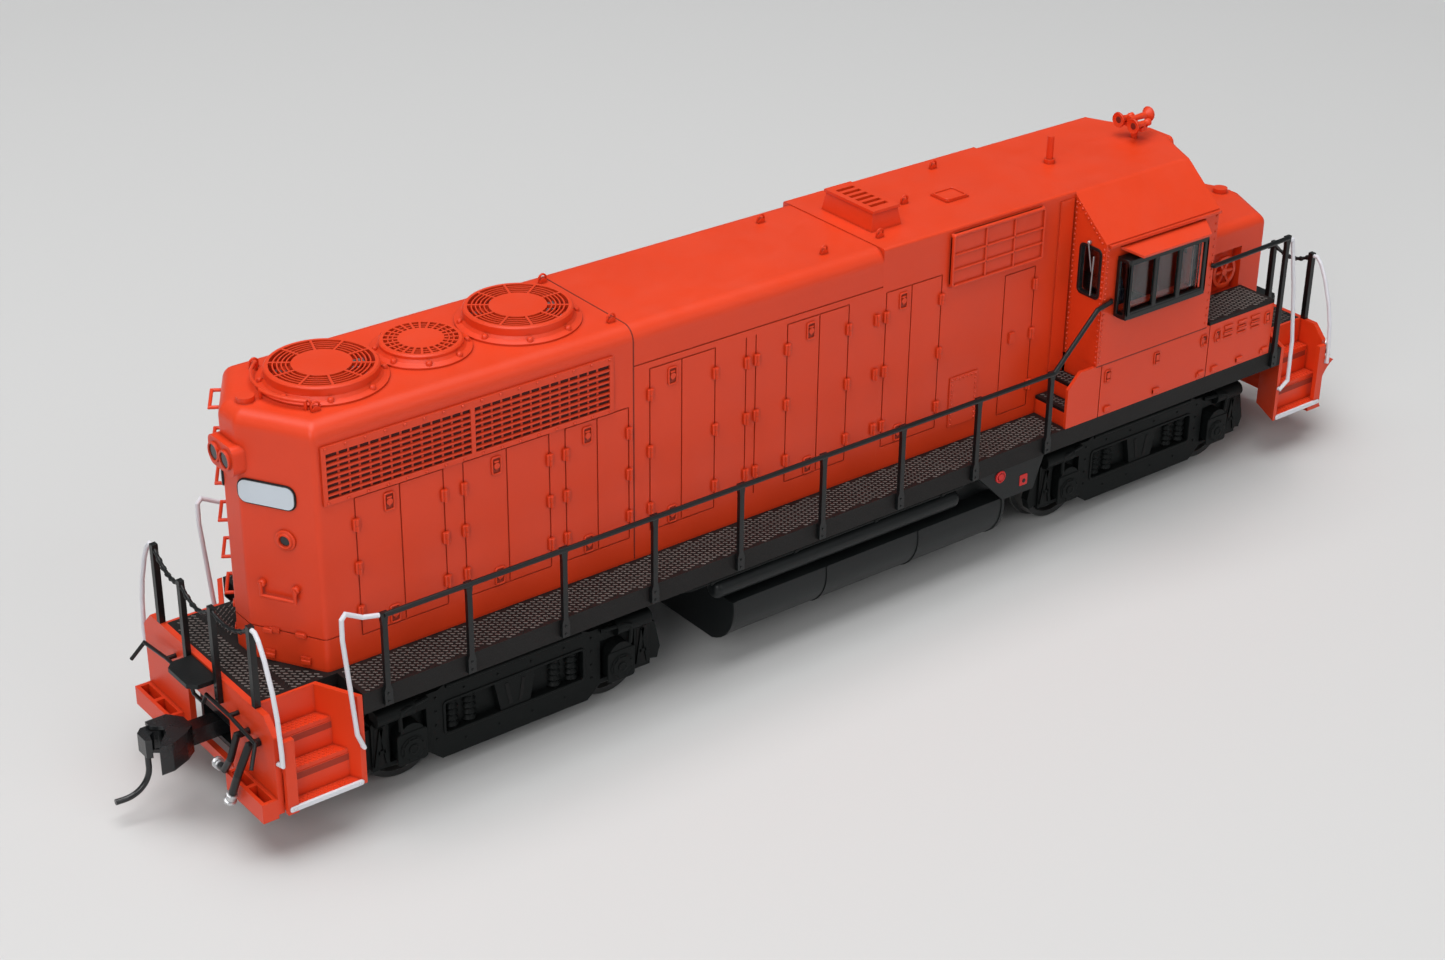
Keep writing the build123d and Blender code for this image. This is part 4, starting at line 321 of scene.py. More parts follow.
def moulded(name, light, dark, rough, spread, bump, edge_highlight, dust=0.12, shine=0.4, metal=0.0):
    """Tone and gloss drift with the clouds; edges get a painted highlight, crevices painted shade, and dust
    lies on top.
    """
    m, t, p = new_material(name)
    g, e, d, c = [effect(t, name) for name in ("grain", "edges", "dust", "crevice")]
    cloud = span(t, g.outputs["Cloud"], 0.3, 0.7, 0.0, 1.0)
    tone = blend_colour(t, cloud, dark, light)
    # Painted highlight along the edges.
    tone = blend_colour(t, span(t, e.outputs["Edge"], 0.0, 1.0, 0.0, EDGE_HIGHLIGHT_SHARE), tone, edge_highlight)
    # Painted shade in the crevices: a darker copy of the darker tone.
    shade = tuple(CREVICE_SHADE_TONE * v for v in dark)
    tone = blend_colour(t, span(t, c.outputs["Crevice"], 0.0, 1.0, 0.0, CREVICE_SHADE_SHARE), tone, shade)
    dusty = span(t, d.outputs["Dust"], 0.0, 1.0, 0.0, dust)
    t.links.new(blend_colour(t, dusty, tone, DUST_TONE), p.inputs["Base Color"])
    gloss = node(t, "ShaderNodeMath", operation="ADD")
    t.links.new(span(t, g.outputs["Cloud"], 0.2, 0.8, rough - spread, rough + spread), gloss.inputs[0])
    t.links.new(dusty, gloss.inputs[1])
    t.links.new(gloss.outputs["Value"], p.inputs["Roughness"])
    b = node(t, "ShaderNodeBump", Strength=bump, Distance=GRAIN_DEPTH)
    t.links.new(g.outputs["Grain"], b.inputs["Height"])
    t.links.new(e.outputs["Normal"], b.inputs["Normal"])
    t.links.new(b.outputs["Normal"], p.inputs["Normal"])
    p.inputs["Metallic"].default_value = metal
    p.inputs["Specular IOR Level"].default_value = shine
    return m


# The third orange, and the sixth entry of every row, is the colour of the painted highlight on edges.
ORANGE, ORANGE_DARK, ORANGE_HIGHLIGHT = (0.76, 0.050, 0.0085), (0.71, 0.045, 0.0075), (0.84, 0.13, 0.055)
finishes_rows = {
    "orange_plastic": (ORANGE, ORANGE_DARK, 0.40, 0.05, 0.25, ORANGE_HIGHLIGHT, 0.03, 0.42),
    "black_plastic": ((0.0085, 0.0105, 0.011), (0.006, 0.0075, 0.008),
        0.38, 0.07, 0.3, (0.030, 0.035, 0.037), 0.01, 0.28),
    "walkway_black": ((0.0070, 0.0055, 0.0052), (0.0050, 0.0042, 0.0040),
        0.6, 0.08, 0.5, (0.04, 0.034, 0.031), 0.02, 0.3),
    "black_rail": ((0.0055, 0.007, 0.0075), (0.004, 0.005, 0.0055),
        0.36, 0.06, 0.2, (0.022, 0.026, 0.028), 0.01),
    "truck_black": ((0.0052, 0.0068, 0.0066), (0.0036, 0.0047, 0.0047),
        0.5, 0.08, 0.5, (0.030, 0.035, 0.035), 0.01, 0.15),
    "coupler_metal": ((0.012, 0.0135, 0.015), (0.008, 0.009, 0.010),
        0.26, 0.08, 0.4, (0.06, 0.062, 0.066), 0.02, 0.55),
    "white_rail": ((0.76, 0.76, 0.80), (0.68, 0.68, 0.73), 0.4, 0.05, 0.2, (0.80, 0.80, 0.83), 0.05),
    "white_board": ((0.62, 0.68, 0.74), (0.58, 0.64, 0.70), 0.3, 0.05, 0.1, (0.8, 0.82, 0.85), 0.03),
    "fan_grey": ((0.30, 0.31, 0.32), (0.22, 0.23, 0.24), 0.4, 0.05, 0.2, (0.45, 0.45, 0.45), 0.05),
    "hose_silver": ((0.66, 0.67, 0.68), (0.48, 0.48, 0.5),
        0.3, 0.08, 0.3, (0.85, 0.85, 0.85), 0.05, 0.4, 0.9),
    "weight_metal": ((0.12, 0.12, 0.12), (0.09, 0.09, 0.09), 0.5, 0.05, 0.3, (0.2, 0.2, 0.2)),
}
finishes = {key: moulded(key, *values) for key, values in finishes_rows.items()}
print("moulded finishes:", len(finishes))

# %% [markdown]
# ### Extra finishes for the small pieces
# The raised lines of the walkways carry a painted highlight, lighter than the plate under them. The
# red safety marks, copper contacts and the deep shade inside an opening each need a finish of their
# own, and so do the darker copies of the body orange that paint shade in recesses, seams and gaps
# and behind the louvres.

# %% Small-piece finishes
trim_rows = {
    # Painted highlight on the raised walkway strands.
    "painted_highlight_lines": ((0.21, 0.18, 0.165), (0.15, 0.128, 0.118), 0.45, 0.08, 0.3, (0.30, 0.27, 0.25), 0.02),
    "safety_red": ((0.60, 0.018, 0.016), (0.54, 0.014, 0.012), 0.4, 0.05, 0.2, (0.62, 0.08, 0.06), 0.02),
    "copper": ((0.72, 0.30, 0.16), (0.55, 0.20, 0.10), 0.32, 0.08, 0.3, (0.85, 0.45, 0.28), 0.02, 0.4, 1.0),
    "wiper_steel": ((0.42, 0.38, 0.38), (0.34, 0.31, 0.31),
        0.35, 0.06, 0.2, (0.6, 0.58, 0.58), 0.02, 0.4, 0.6),
    # A near black that paints the shade inside openings.
    "deep_shade": ((0.0035, 0.0035, 0.0035), (0.0025, 0.0025, 0.0025),
        0.8, 0.05, 0.2, (0.006, 0.006, 0.006), 0.0),
    # Darker copies of the body orange that paint shade: in the box latch pockets, seams and horn throats; in
    # the door latch pockets and under the treads; and behind the louvres.
    "deep_shade_orange": ((0.20, 0.018, 0.007), (0.15, 0.013, 0.006), 0.6, 0.05, 0.2, (0.2, 0.03, 0.015), 0.0),
    "shaded_orange": ((0.36, 0.032, 0.011), (0.30, 0.026, 0.009), 0.6, 0.05, 0.2, (0.4, 0.05, 0.02), 0.0),
    "core_shade": ((0.07, 0.007, 0.004), (0.05, 0.005, 0.003), 0.8, 0.05, 0.2, (0.08, 0.01, 0.006), 0.0),
    "gloss_black": ((0.0045, 0.005, 0.005), (0.0035, 0.004, 0.004), 0.32, 0.05, 0.1,
        (0.012, 0.013, 0.013), 0.0),
    "seat_blue": ((0.045, 0.06, 0.09), (0.03, 0.042, 0.065), 0.7, 0.06, 0.6, (0.09, 0.1, 0.13), 0.02),
}
trim = {key: moulded(key, *values) for key, values in trim_rows.items()}
print("small-piece finishes:", len(trim))

# %% [markdown]
# ### Wheels and glazing
# A model wheel is blackened on its face and bare metal on its tread. The face looks along the
# axle, so the object-space normal tells the two apart at every turn of the wheel. The windows
# are clear moulded panes with a light smoke tint, and the lamp lenses are dark and glossy.

# %% Wheel and glass finishes
def wheel_finish(name):
    """Dark paint where |normal y| is near 1, bare rolled metal elsewhere."""
    m = moulded(name, (0.30, 0.29, 0.28), (0.20, 0.195, 0.19), 0.33, 0.07, 0.2, (0.5, 0.49, 0.48), 0.0)
    t = m.node_tree
    p = t.nodes["Principled BSDF"]
    coord = node(t, "ShaderNodeTexCoord")
    parts = node(t, "ShaderNodeSeparateXYZ")
    size = node(t, "ShaderNodeMath", operation="ABSOLUTE")
    t.links.new(coord.outputs["Normal"], parts.inputs["Vector"])
    t.links.new(parts.outputs["Y"], size.inputs[0])
    metal = p.inputs["Base Color"].links[0].from_socket
    face = span(t, size.outputs["Value"], 0.55, 0.75, 0.0, 1.0)
    t.links.new(blend_colour(t, face, metal, (0.017, 0.018, 0.018)), p.inputs["Base Color"])
    t.links.new(span(t, size.outputs["Value"], 0.55, 0.75, 1.0, 0.0), p.inputs["Metallic"])
    return m


def clear(name, tint, low, high, through, bump):
    """Glossy clear plastic: roughness drifts with the clouds and a faint ripple bends the reflection."""
    m, t, p = new_material(name)
    g = effect(t, "grain", Grain_Scale=500.0, Cloud_Scale=150.0)
    t.links.new(span(t, g.outputs["Cloud"], 0.3, 0.7, low, high), p.inputs["Roughness"])
    b = node(t, "ShaderNodeBump", Strength=bump, Distance=RIPPLE_DEPTH)
    t.links.new(g.outputs["Grain"], b.inputs["Height"])
    t.links.new(b.outputs["Normal"], p.inputs["Normal"])
    p.inputs["Base Color"].default_value = (*tint, 1)
    p.inputs["Transmission Weight"].default_value = through
    p.inputs["IOR"].default_value = 1.45
    return m


finishes["wheel_metal"] = wheel_finish("wheel_metal")
finishes["window_glass"] = clear("window_glass", (0.88, 0.90, 0.92), 0.03, 0.09, 1.0, 0.15)
finishes["lamp_glass"] = clear("lamp_glass", (0.022, 0.022, 0.025), 0.08, 0.16, 0.0, 0.3)
slot_of = {s["node"]: s["material_slot"] for s in frame["record"]["subparts"]}
for name, obj in nodes.items():
    obj.data.materials.clear()
    obj.data.materials.append(finishes[slot_of[name]])
looks = {**finishes, **trim}
print("nodes dressed:", len(nodes))

# %% [markdown]
# ## Tools for making shapes
# Every added piece is a surface worked out with numpy in millimetres. A stack of rings joined by
# quads is enough for bars, turned parts, plates and frames, so one function does the joining and
# the others only say where the rings go. Faces point outwards when a ring runs anticlockwise
# round the way the stack grows.

# %% Rings, copies and pieces
SHARP_ANGLE = math.radians(35)


def skin(rings, closed=False):
    """Ring i joined to ring i + 1 by quads; the two ends are capped unless the stack closes on itself."""
    n, k = rings.shape[:2]
    i = np.arange(n if closed else n - 1)[:, None]
    j = np.arange(k)[None]
    after = (j + 1) % k
    above = (i + 1) % n
    quads = np.stack([i * k + j, i * k + after, above * k + after, above * k + j], -1).reshape(-1, 4)
    caps = [] if closed else [np.arange(k)[::-1][None], ((n - 1) * k + np.arange(k))[None]]
    return rings.reshape(-1, 3), [quads] + caps


def copies(stacks, closed=False):
    """Many equal ring stacks (copies, rings, points, 3) as one shape: one pattern of faces, shifted."""
    points, faces = skin(stacks[0], closed)
    start = (np.arange(len(stacks)) * len(points))[:, None, None]
    return stacks.reshape(-1, 3), [(start + f[None]).reshape(-1, f.shape[1]) for f in faces]


def merged(shapes):
    """Several shapes as one, each shape's faces shifted by the points before it."""
    start = np.cumsum([0] + [len(p) for p, f in shapes])
    return np.concatenate([p for p, f in shapes]), [g + s for (p, f), s in zip(shapes, start) for g in f]


def mirrored(shape):
    """The other side of the model: y changes sign, and the faces turn round so they still face out."""
    return shape[0] * (1, -1, 1), [f[:, ::-1] for f in shape[1]]


def turned(shape):
    """Half a turn about the upright axis."""
    return shape[0] * (-1, -1, 1), shape[1]


def both(shape):
    """A shape and its mirror image."""
    return merged([shape, mirrored(shape)])


def both_ends(shape):
    """A shape and its copy at the other end of the model."""
    return merged([shape, turned(shape)])


def put(name, shape, finish, body="body", slot="own"):
    """Points in millimetres become a mesh with its finish on a body; the slot is worked out but not used."""
    points, faces = shape
    mesh = bpy.data.meshes.new(name)
    mesh.from_pydata((points * MM).tolist(), [], [row for f in faces for row in f.tolist()])
    mesh.shade_smooth()
    mesh.set_sharp_from_angle(angle=SHARP_ANGLE)
    mesh.materials.append(looks[finish])
    piece = bpy.data.objects.new(name, mesh)
    bpy.context.collection.objects.link(piece)
    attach(piece, body)
    if slot == "own":
        slot = finish if finish in finishes else None
    print(name, "faces:", len(mesh.polygons))
    return piece


print("shape tools ready")

# %% [markdown]
# ### Bars, turned parts and small heads
# A bar is a circle carried along a path. A turned part is a list of radii and heights round an
# axis. Rivets and bolts are tiny turned parts repeated, so all the copies are worked out in one
# array and each has only a couple of dozen faces.

# %% Bars and turned parts
def unit(v):
    """A direction, or rows of directions, scaled to length one."""
    v = np.asarray(v, float)
    return v / np.linalg.norm(v, axis=-1, keepdims=True)


def circle(way, sides, helper=None):
    """Points of a unit circle square to a way, anticlockwise seen from its tip."""
    way = unit(way)
    if helper is None:
        helper = np.where(np.abs(way[..., 2:]) < 0.9, (0.0, 0.0, 1.0), (1.0, 0.0, 0.0))
    u = unit(np.cross(helper, way))
    v = np.cross(way, u)
    a = (np.arange(sides) + 0.5) * 2 * np.pi / sides
    return np.cos(a)[:, None] * u[..., None, :] + np.sin(a)[:, None] * v[..., None, :]


def tube(path, radius, sides=8, helper=None):
    """A round bar: a circle of the radius carried along the path, square to it at each point."""
    path = np.asarray(path, float)
    return skin(path[:, None] + radius * circle(np.gradient(path, axis=0), sides, helper))


def heads(centres, way, profile, sides=6):
    """Copies of a turned shape: each (radius, height) is a circle round the way, at every centre."""
    profile = np.asarray(profile, float)
    ring = profile[:, 0, None, None] * circle(way, sides) + profile[:, 1, None, None] * unit(way)
    return copies(np.asarray(centres, float).reshape(-1, 1, 1, 3) + ring[None])


def eased(points, per=5):
    """A smooth path through a few points (Catmull-Rom): each stretch blends its four nearest points."""
    p = np.asarray(points, float)
    p = np.vstack([2 * p[0] - p[1], p, 2 * p[-1] - p[-2]])
    t = np.linspace(0, 1, per, endpoint=False)[None, :, None]
    a, b, c, d = p[:-3, None], p[1:-2, None], p[2:-1, None], p[3:, None]
    q = 0.5 * (2 * b + (c - a) * t + (2 * a - 5 * b + 4 * c - d) * t**2 + (3 * b - a - 3 * c + d) * t**3)
    return np.vstack([q.reshape(-1, 3), p[-2]])


RIVET = [(0.21, -0.05), (0.20, 0.06), (0.13, 0.14), (0.04, 0.16)]
print("bars and heads ready")

# %% [markdown]
# ### Plates and frames on a plane
# Most of the flat details sit on one of the model's walls. A plane is an origin and two ways, u
# and v, whose cross product points out of the wall. A plate is a rounded rectangle drawn three
# times, and a frame is a small section carried round the same outline.

# %% Plates and frames
def rounded(width, height, radius, steps=4):
    """A rounded rectangle, anticlockwise: a quarter circle round each of the four corner centres."""
    a = np.arange(4)[:, None] * np.pi / 2 + np.linspace(0, np.pi / 2, steps + 1)[None]
    x = np.array([1, -1, -1, 1])[:, None] * (width / 2 - radius) + radius * np.cos(a)
    y = np.array([1, 1, -1, -1])[:, None] * (height / 2 - radius) + radius * np.sin(a)
    return np.stack([x, y], -1).reshape(-1, 2)


def on(plane, uv, out):
    """Flat points (u, v) set on a plane and moved out along its normal."""
    origin, u, v = [np.asarray(a, float) for a in plane]
    return origin + uv[..., :1] * u + uv[..., 1:] * v + out * np.cross(u, v)


def plate(plane, at, width, height, radius, thick, soft=0.08):
    """A raised plate: the outline sunk in the wall, again just under the top, and drawn in at the top."""
    rows = [(0.0, -0.1), (0.0, thick - soft), (soft, thick)]
    rings = [on(plane, at + rounded(width - 2 * i, height - 2 * i, max(radius - i, 0.02)), o)
             for i, o in rows]
    return skin(np.stack(rings))


def rim(plane, at, width, height, radius, inner, outer, thick, sink=0.1):
    """A frame: the section outer foot, outer edge, top, inner edge, inner foot goes round the outline."""
    soft = min(0.06, thick / 2)
    section = [(outer, -sink), (outer, thick - soft), (outer - soft, thick), (inner + soft, thick),
               (inner, thick - soft), (inner, -sink)]
    rings = [on(plane, at + rounded(width + 2 * o, height + 2 * o, radius + o), h) for o, h in section]
    return skin(np.stack(rings), closed=True)


X, Y, Z = np.eye(3)
HOOD_HALF, DECK, ROOF, CAB_REAR, CAB_FRONT, CAB_HALF = 10.56, 19.34, 52.0, 39.9, 62.6, 17.15
SILL_HALF = 17.09
hood_wall = ((0, -HOOD_HALF, 0), X, Z)
cab_back = ((CAB_REAR, 0, 0), -Y, Z)
cab_front = ((CAB_FRONT, 0, 0), Y, Z)
cab_wall = ((0, -CAB_HALF, 0), X, Z)
sill_wall = ((0, -SILL_HALF, 0), X, Z)
rear_way = unit((5.3, -8.76, 0.0))
rear_panel = ((-86.3, -1.8, 0), rear_way, Z)
shield_way = unit((3.5, 7.5, 0.0))
shield_panel = ((64.85, -6.25, 0), shield_way, Z)
print("planes ready")

# %% [markdown]
# ## Walkway tread
# The walkways look like expanded metal: short raised strands in staggered rows, coloured light as
# a painted highlight, over a darker lattice that slants the other way. A bump map would show the
# pattern but leave the mesh flat, so the strands are real ridges, kept where they fit on their
# deck. Each is only six faces.

# %% Raised strands
STRAND_WAY = unit((0.785, -0.619))
STRAND_PITCH, ROW_PITCH = 0.92, 0.56


def strands(corners, z, slant, length, width, high):
    """Bars along a slanting way at (i + half of every second row, j), kept inside a convex outline."""
    corners = np.asarray(corners, float)
    way = STRAND_WAY * (1, slant)
    side = np.array([-way[1], way[0]])
    reach = int(np.ceil(np.abs(corners).max() * 1.5 / ROW_PITCH))
    j, i = np.meshgrid(np.arange(-reach, reach), np.arange(-reach, reach))
    along = (i + 0.5 * (j % 2)) * STRAND_PITCH
    centre = along[..., None] * way + (j * ROW_PITCH)[..., None] * side
    ends = centre[..., None, :] + np.array([-0.5, 0.5])[:, None] * length * way
    edge = unit(np.roll(corners, -1, 0) - corners)
    inward = np.stack([-edge[:, 1], edge[:, 0]], 1)
    depth = np.einsum("ijkd,ed->ijke", ends, inward) - (corners * inward).sum(1)
    ends = ends[(depth > width / 2).all((2, 3))]
    section = [(0.5, -0.05), (0.25, high), (-0.25, high), (-0.5, -0.05)]
    ring = np.stack([np.array([*side, 0.0]) * width * s + Z * h for s, h in section])
    lines = np.concatenate([ends, np.full((*ends.shape[:2], 1), z)], -1)
    return copies(lines[:, :, None] + ring)


def deck_box(x0, x1, y0, y1):
    """The four corners of a deck, anticlockwise."""
    return [(x0, y0), (x1, y0), (x1, y1), (x0, y1)]


right_decks = [
    (deck_box(-79.9, 34.6, -16.95, -10.75), DECK),
    ([(-86.7, -11.1), (-81.3, -11.1), (-86.7, -2.2)], DECK),
    ([(85.8, -11.1), (85.8, -2.0), (81.7, -11.1)], DECK),
    (deck_box(35.0, 37.3, -16.5, -10.7), 22.1),
    (deck_box(37.5, 39.8, -16.5, -10.7), 24.7),
    (deck_box(63.5, 77.1, -16.95, -10.45), 28.1),
]
middle_decks = [(deck_box(-90.8, -86.8, -11.1, 11.1), DECK), (deck_box(85.9, 90.8, -11.1, 11.1), DECK)]
BRIGHT = (1, 0.60, 0.17, 0.09)
CROSS = (-1, 0.85, 0.15, 0.05)
# The strands get the painted highlight; the lattice keeps the walkway's brown black.
for name, style, finish in (("walkway_lines", BRIGHT, "painted_highlight_lines"),
                            ("walkway_lattice", CROSS, "walkway_black")):
    lines = [both(strands(c, z, *style)) for c, z in right_decks]
    lines += [strands(c, z, *style) for c, z in middle_decks]
    put(name, merged(lines), finish, slot="walkway_black")

# %% [markdown]
# ## Rivets and bolts on the body
# Rows of rivets edge the cab's rear and side walls, a plate on the hood and the louvre frame, and
# small lugs hold the fan flanges to the roof. They are moulded with the body, so they share its
# finish.

# %% Rivet rows
def row(start, end, pitch):
    """Evenly spread points from start to end, about one pitch apart."""
    start, end = np.asarray(start, float), np.asarray(end, float)
    count = int(round(np.linalg.norm(end - start) / pitch)) + 1
    return start + np.linspace(0, 1, count)[:, None] * (end - start)


back_rows = np.vstack([
    row((CAB_REAR, -10.95, 28.2), (CAB_REAR, -10.95, 50.6), 0.8),
    row((CAB_REAR, -16.8, 28.2), (CAB_REAR, -16.8, 45.4), 0.8),
    row((CAB_REAR, -16.3, 46.2), (CAB_REAR, -11.5, 50.5), 0.8),
])
wall_rows = np.vstack([
    row((40.35, -CAB_HALF, 28.2), (40.35, -CAB_HALF, 45.2), 0.8),
    row((62.2, -CAB_HALF, 28.4), (62.2, -CAB_HALF, 45.2), 1.2),
])
PLATE_FACE = -HOOD_HALF - 0.2
plate_rows = np.vstack([
    row((18.2, PLATE_FACE, 29.25), (22.6, PLATE_FACE, 29.25), 0.73),
    row((18.2, PLATE_FACE, 22.5), (18.2, PLATE_FACE, 28.6), 0.73),
    row((22.6, PLATE_FACE, 22.5), (22.6, PLATE_FACE, 28.6), 0.73),
])
RIM_FACE = -HOOD_HALF - 0.3
rim_rows = np.vstack([row((-79.6, RIM_FACE, z), (-39.8, RIM_FACE, z), 2.65) for z in (41.85, 48.9)])
rivets = heads(back_rows, -X, RIVET)
rivets = merged([rivets] + [heads(r, -Y, RIVET) for r in (wall_rows, plate_rows, rim_rows)])
put("body_rivets", both(rivets), "orange_plastic")

# %% Fan lugs
FAN_ROWS = [(-73.4, 6.83, 8), (-59.8, 5.13, 8), (-45.8, 6.83, 8)]
LUG = [(0.42, -0.3), (0.40, 0.25), (0.28, 0.42), (0.1, 0.46)]


def lug_ring(x, radius, count):
    """Centres spread round a fan, just outside its drum."""
    a = (np.arange(count) + 0.5) * 2 * np.pi / count
    r = radius + 0.45
    return np.stack([x + r * np.cos(a), r * np.sin(a), np.full(count, ROOF + 0.4)], 1)


lugs = np.vstack([lug_ring(*r) for r in FAN_ROWS])
put("fan_lugs", heads(lugs, Z, LUG, sides=8), "orange_plastic")

# %% [markdown]
# ## Latches and hinges
# Each pair of hood doors is held by recessed latches, seen as an upright frame with a T handle
# over a pocket of painted shade, and turns on hinges with a flat leaf and a round pin. The frame is
# a rim round a small rectangle, the handle, the leaf and the painted shade are plates, and the pins
# are turned parts in one array.

# %% Door latches
LOW_LATCH, LOW_TOP, HIGH_TOP = 24.24, 39.5, 43.9
latches = [(x, z) for x in (-71.5, -56.5, -43.1) for z in (LOW_LATCH, LOW_TOP)]
latches += [(x, z) for x in (-30.0, -7.5, 8.5) for z in (LOW_LATCH, HIGH_TOP)]
LATCH_RIM, LATCH_POCKET = (1.0, 2.0, 0.12, 0.0, 0.24, 0.22), (0.98, 1.98, 0.1, 0.03, 0.02)
HANDLE_UP, HANDLE_BAR, HANDLE_STEM = 0.55, (0.74, 0.26, 0.1, 0.26), (0.24, 1.2, 0.08, 0.22)
frames = []
for x, z in latches:
    frames.append(rim(hood_wall, (x, z), *LATCH_RIM))
    frames.append(plate(hood_wall, (x, z + HANDLE_UP), *HANDLE_BAR))
    frames.append(plate(hood_wall, (x, z), *HANDLE_STEM))
# Each pocket is a thin plate of painted shade.
pocket_shades = [plate(hood_wall, spot, *LATCH_POCKET) for spot in latches]
put("door_latches", both(merged(frames)), "orange_plastic")
put("latch_pocket_shade", both(merged(pocket_shades)), "shaded_orange")

# %% Hinges
DOOR_BOTTOM, LOW_HINGE, TOP_HINGE = 22.84, 3.3, 3.5
HINGE_LEAF, PIN_OUT = (0.95, 1.55, 0.12, 0.4), 0.44
PIN = [(0.12, -0.85), (0.22, -0.75), (0.22, -0.05), (0.15, 0.0), (0.22, 0.05), (0.22, 0.75), (0.12, 0.85)]
hinge_lines = [((-76.1, -64.0, -61.2, -48.8, -46.4, -36.8), 41.4),
               ((-33.5, -23.2, -18.1, -16.5, -11.4, -1.0, 3.9, 5.5, 15.4), 45.8)]
hinges = [(x, z) for xs, top in hinge_lines for x in xs
          for z in (DOOR_BOTTOM + LOW_HINGE, (DOOR_BOTTOM + top) / 2, top - TOP_HINGE)]
hinges += [(33.0, z) for z in (24.5, 32.5, 40.0)]
pins = [(x, -HOOD_HALF - PIN_OUT, z) for x, z in hinges]
leaves = [plate(hood_wall, spot, *HINGE_LEAF) for spot in hinges]
put("door_hinges", both(merged(leaves + [heads(pins, Z, PIN)])), "orange_plastic")

# %% [markdown]
# ## Louvres and filter screen
# The radiator intake shows as level slats in front of thin uprights, so a row of slanting slats
# goes across the opening, with a thin plate of painted shade close behind it that darkens the gaps.
# A slat is one section, lower at its front edge, carried along x. The filter screen beside the stack
# is a raised panel with a thin grid and a rim.

# %% Slats
SLAT_X, SLAT_COUNT = (-79.75, -39.65), 7
SLAT_Z = (43.03, 47.68)
SLAT_SECTION = np.array([(-10.85, -0.30), (-10.85, -0.12), (-10.58, -0.02), (-10.58, -0.2)])
LOUVRE_X, LOUVRE_Z = -59.7, 45.25
UPRIGHT, CORE = (0.26, 6.1, 0.03, 0.1, 0.03), (40.3, 6.1, 0.05, 0.03, 0.02)
UPRIGHT_X = np.delete(-79.3 + 2.8 * np.arange(1, 14), 6)


def slat(z):
    """The slat's section (y, z) at both ends of the opening, joined."""
    ends = np.array(SLAT_X)[:, None, None] * X
    return skin(ends + (SLAT_SECTION[:, :1] * Y + (SLAT_SECTION[:, 1:] + z) * Z)[None])


uprights = [plate(hood_wall, (x, LOUVRE_Z), *UPRIGHT) for x in UPRIGHT_X]
slats = merged([slat(z) for z in np.linspace(*SLAT_Z, SLAT_COUNT)] + uprights)
put("louvre_slats", both(slats), "orange_plastic")
# The core behind the slats is a thin plate of painted shade.
put("louvre_core_shade", both(plate(hood_wall, (LOUVRE_X, LOUVRE_Z), *CORE)), "core_shade")

# %% Filter screen
SCREEN_AT, SCREEN_W, SCREEN_H = (25.1, 47.6), 17.1, 7.7
SCREEN_X, SCREEN_Z, BAR_W, BAR_UP = (22.7, 28.0), (46.2, 48.4), 0.32, 0.72
screen = [plate(hood_wall, SCREEN_AT, SCREEN_W, SCREEN_H, 0.12, 0.42)]
screen.append(rim(hood_wall, SCREEN_AT, SCREEN_W - 0.7, SCREEN_H - 0.7, 0.1, 0.0, 0.35, 0.78))
screen += [plate(hood_wall, (x, SCREEN_AT[1]), BAR_W, SCREEN_H - 0.4, 0.05, BAR_UP) for x in SCREEN_X]
screen += [plate(hood_wall, (SCREEN_AT[0], z), SCREEN_W - 0.4, BAR_W, 0.05, BAR_UP) for z in SCREEN_Z]
put("filter_screens", both(merged(screen)), "orange_plastic")

# %% [markdown]
# ## Equipment box
# The box under the cab has five upright latches along its top, hinges along its bottom and three
# groups of short vents near the front. They are plates and rims on the box's wall, and a small
# plate of painted shade above each latch stands for its pocket.

# %% Box fittings
BOX_LATCHES, LATCH_Z = (42.45, 52.45, 62.4, 65.25, 76.1), 25.5
BOX_HINGES, HINGE_Z = (42.8, 52.8, 62.3, 65.2, 70.6, 76.2), 20.25
BOX_VENTS, VENT_Z = (67.5, 70.45, 73.4), (26.25, 25.75, 25.25, 24.75)
BOX_HINGE, BOX_VENT, BOX_RIM = (1.3, 0.8, 0.12, 0.3), (1.75, 0.26, 0.1, 0.22), (0.85, 1.6, 0.1, 0.0, 0.2, 0.2)
BOX_HANDLE, BOX_POCKET = (0.7, 0.36, 0.1, 0.32), (0.4, 0.55, 0.1, 0.16, 0.03)
HANDLE_DOWN, POCKET_UP = 0.62, 0.35
fittings = [plate(sill_wall, (x, HINGE_Z), *BOX_HINGE) for x in BOX_HINGES]
for x in BOX_LATCHES:
    fittings.append(rim(sill_wall, (x, LATCH_Z), *BOX_RIM))
    fittings.append(plate(sill_wall, (x, LATCH_Z - HANDLE_DOWN), *BOX_HANDLE))
fittings += [plate(sill_wall, (x, z), *BOX_VENT) for x in BOX_VENTS for z in VENT_Z]
put("box_fittings", both(merged(fittings)), "orange_plastic")
# A thin plate of painted shade above each latch stands for its pocket.
dots = [plate(sill_wall, (x, LATCH_Z + POCKET_UP), *BOX_POCKET) for x in BOX_LATCHES]
put("box_latch_pocket_shade", both(merged(dots)), "deep_shade_orange")

# %% [markdown]
# ## Windows
# The cab windows are clear panes behind rounded openings, with a black gasket round each and a
# thin wiper in front. A gasket is a frame whose inner edge reaches into the opening, so it hides
# the cut edge of the wall. A wiper is an arm on a pivot and a longer blade.

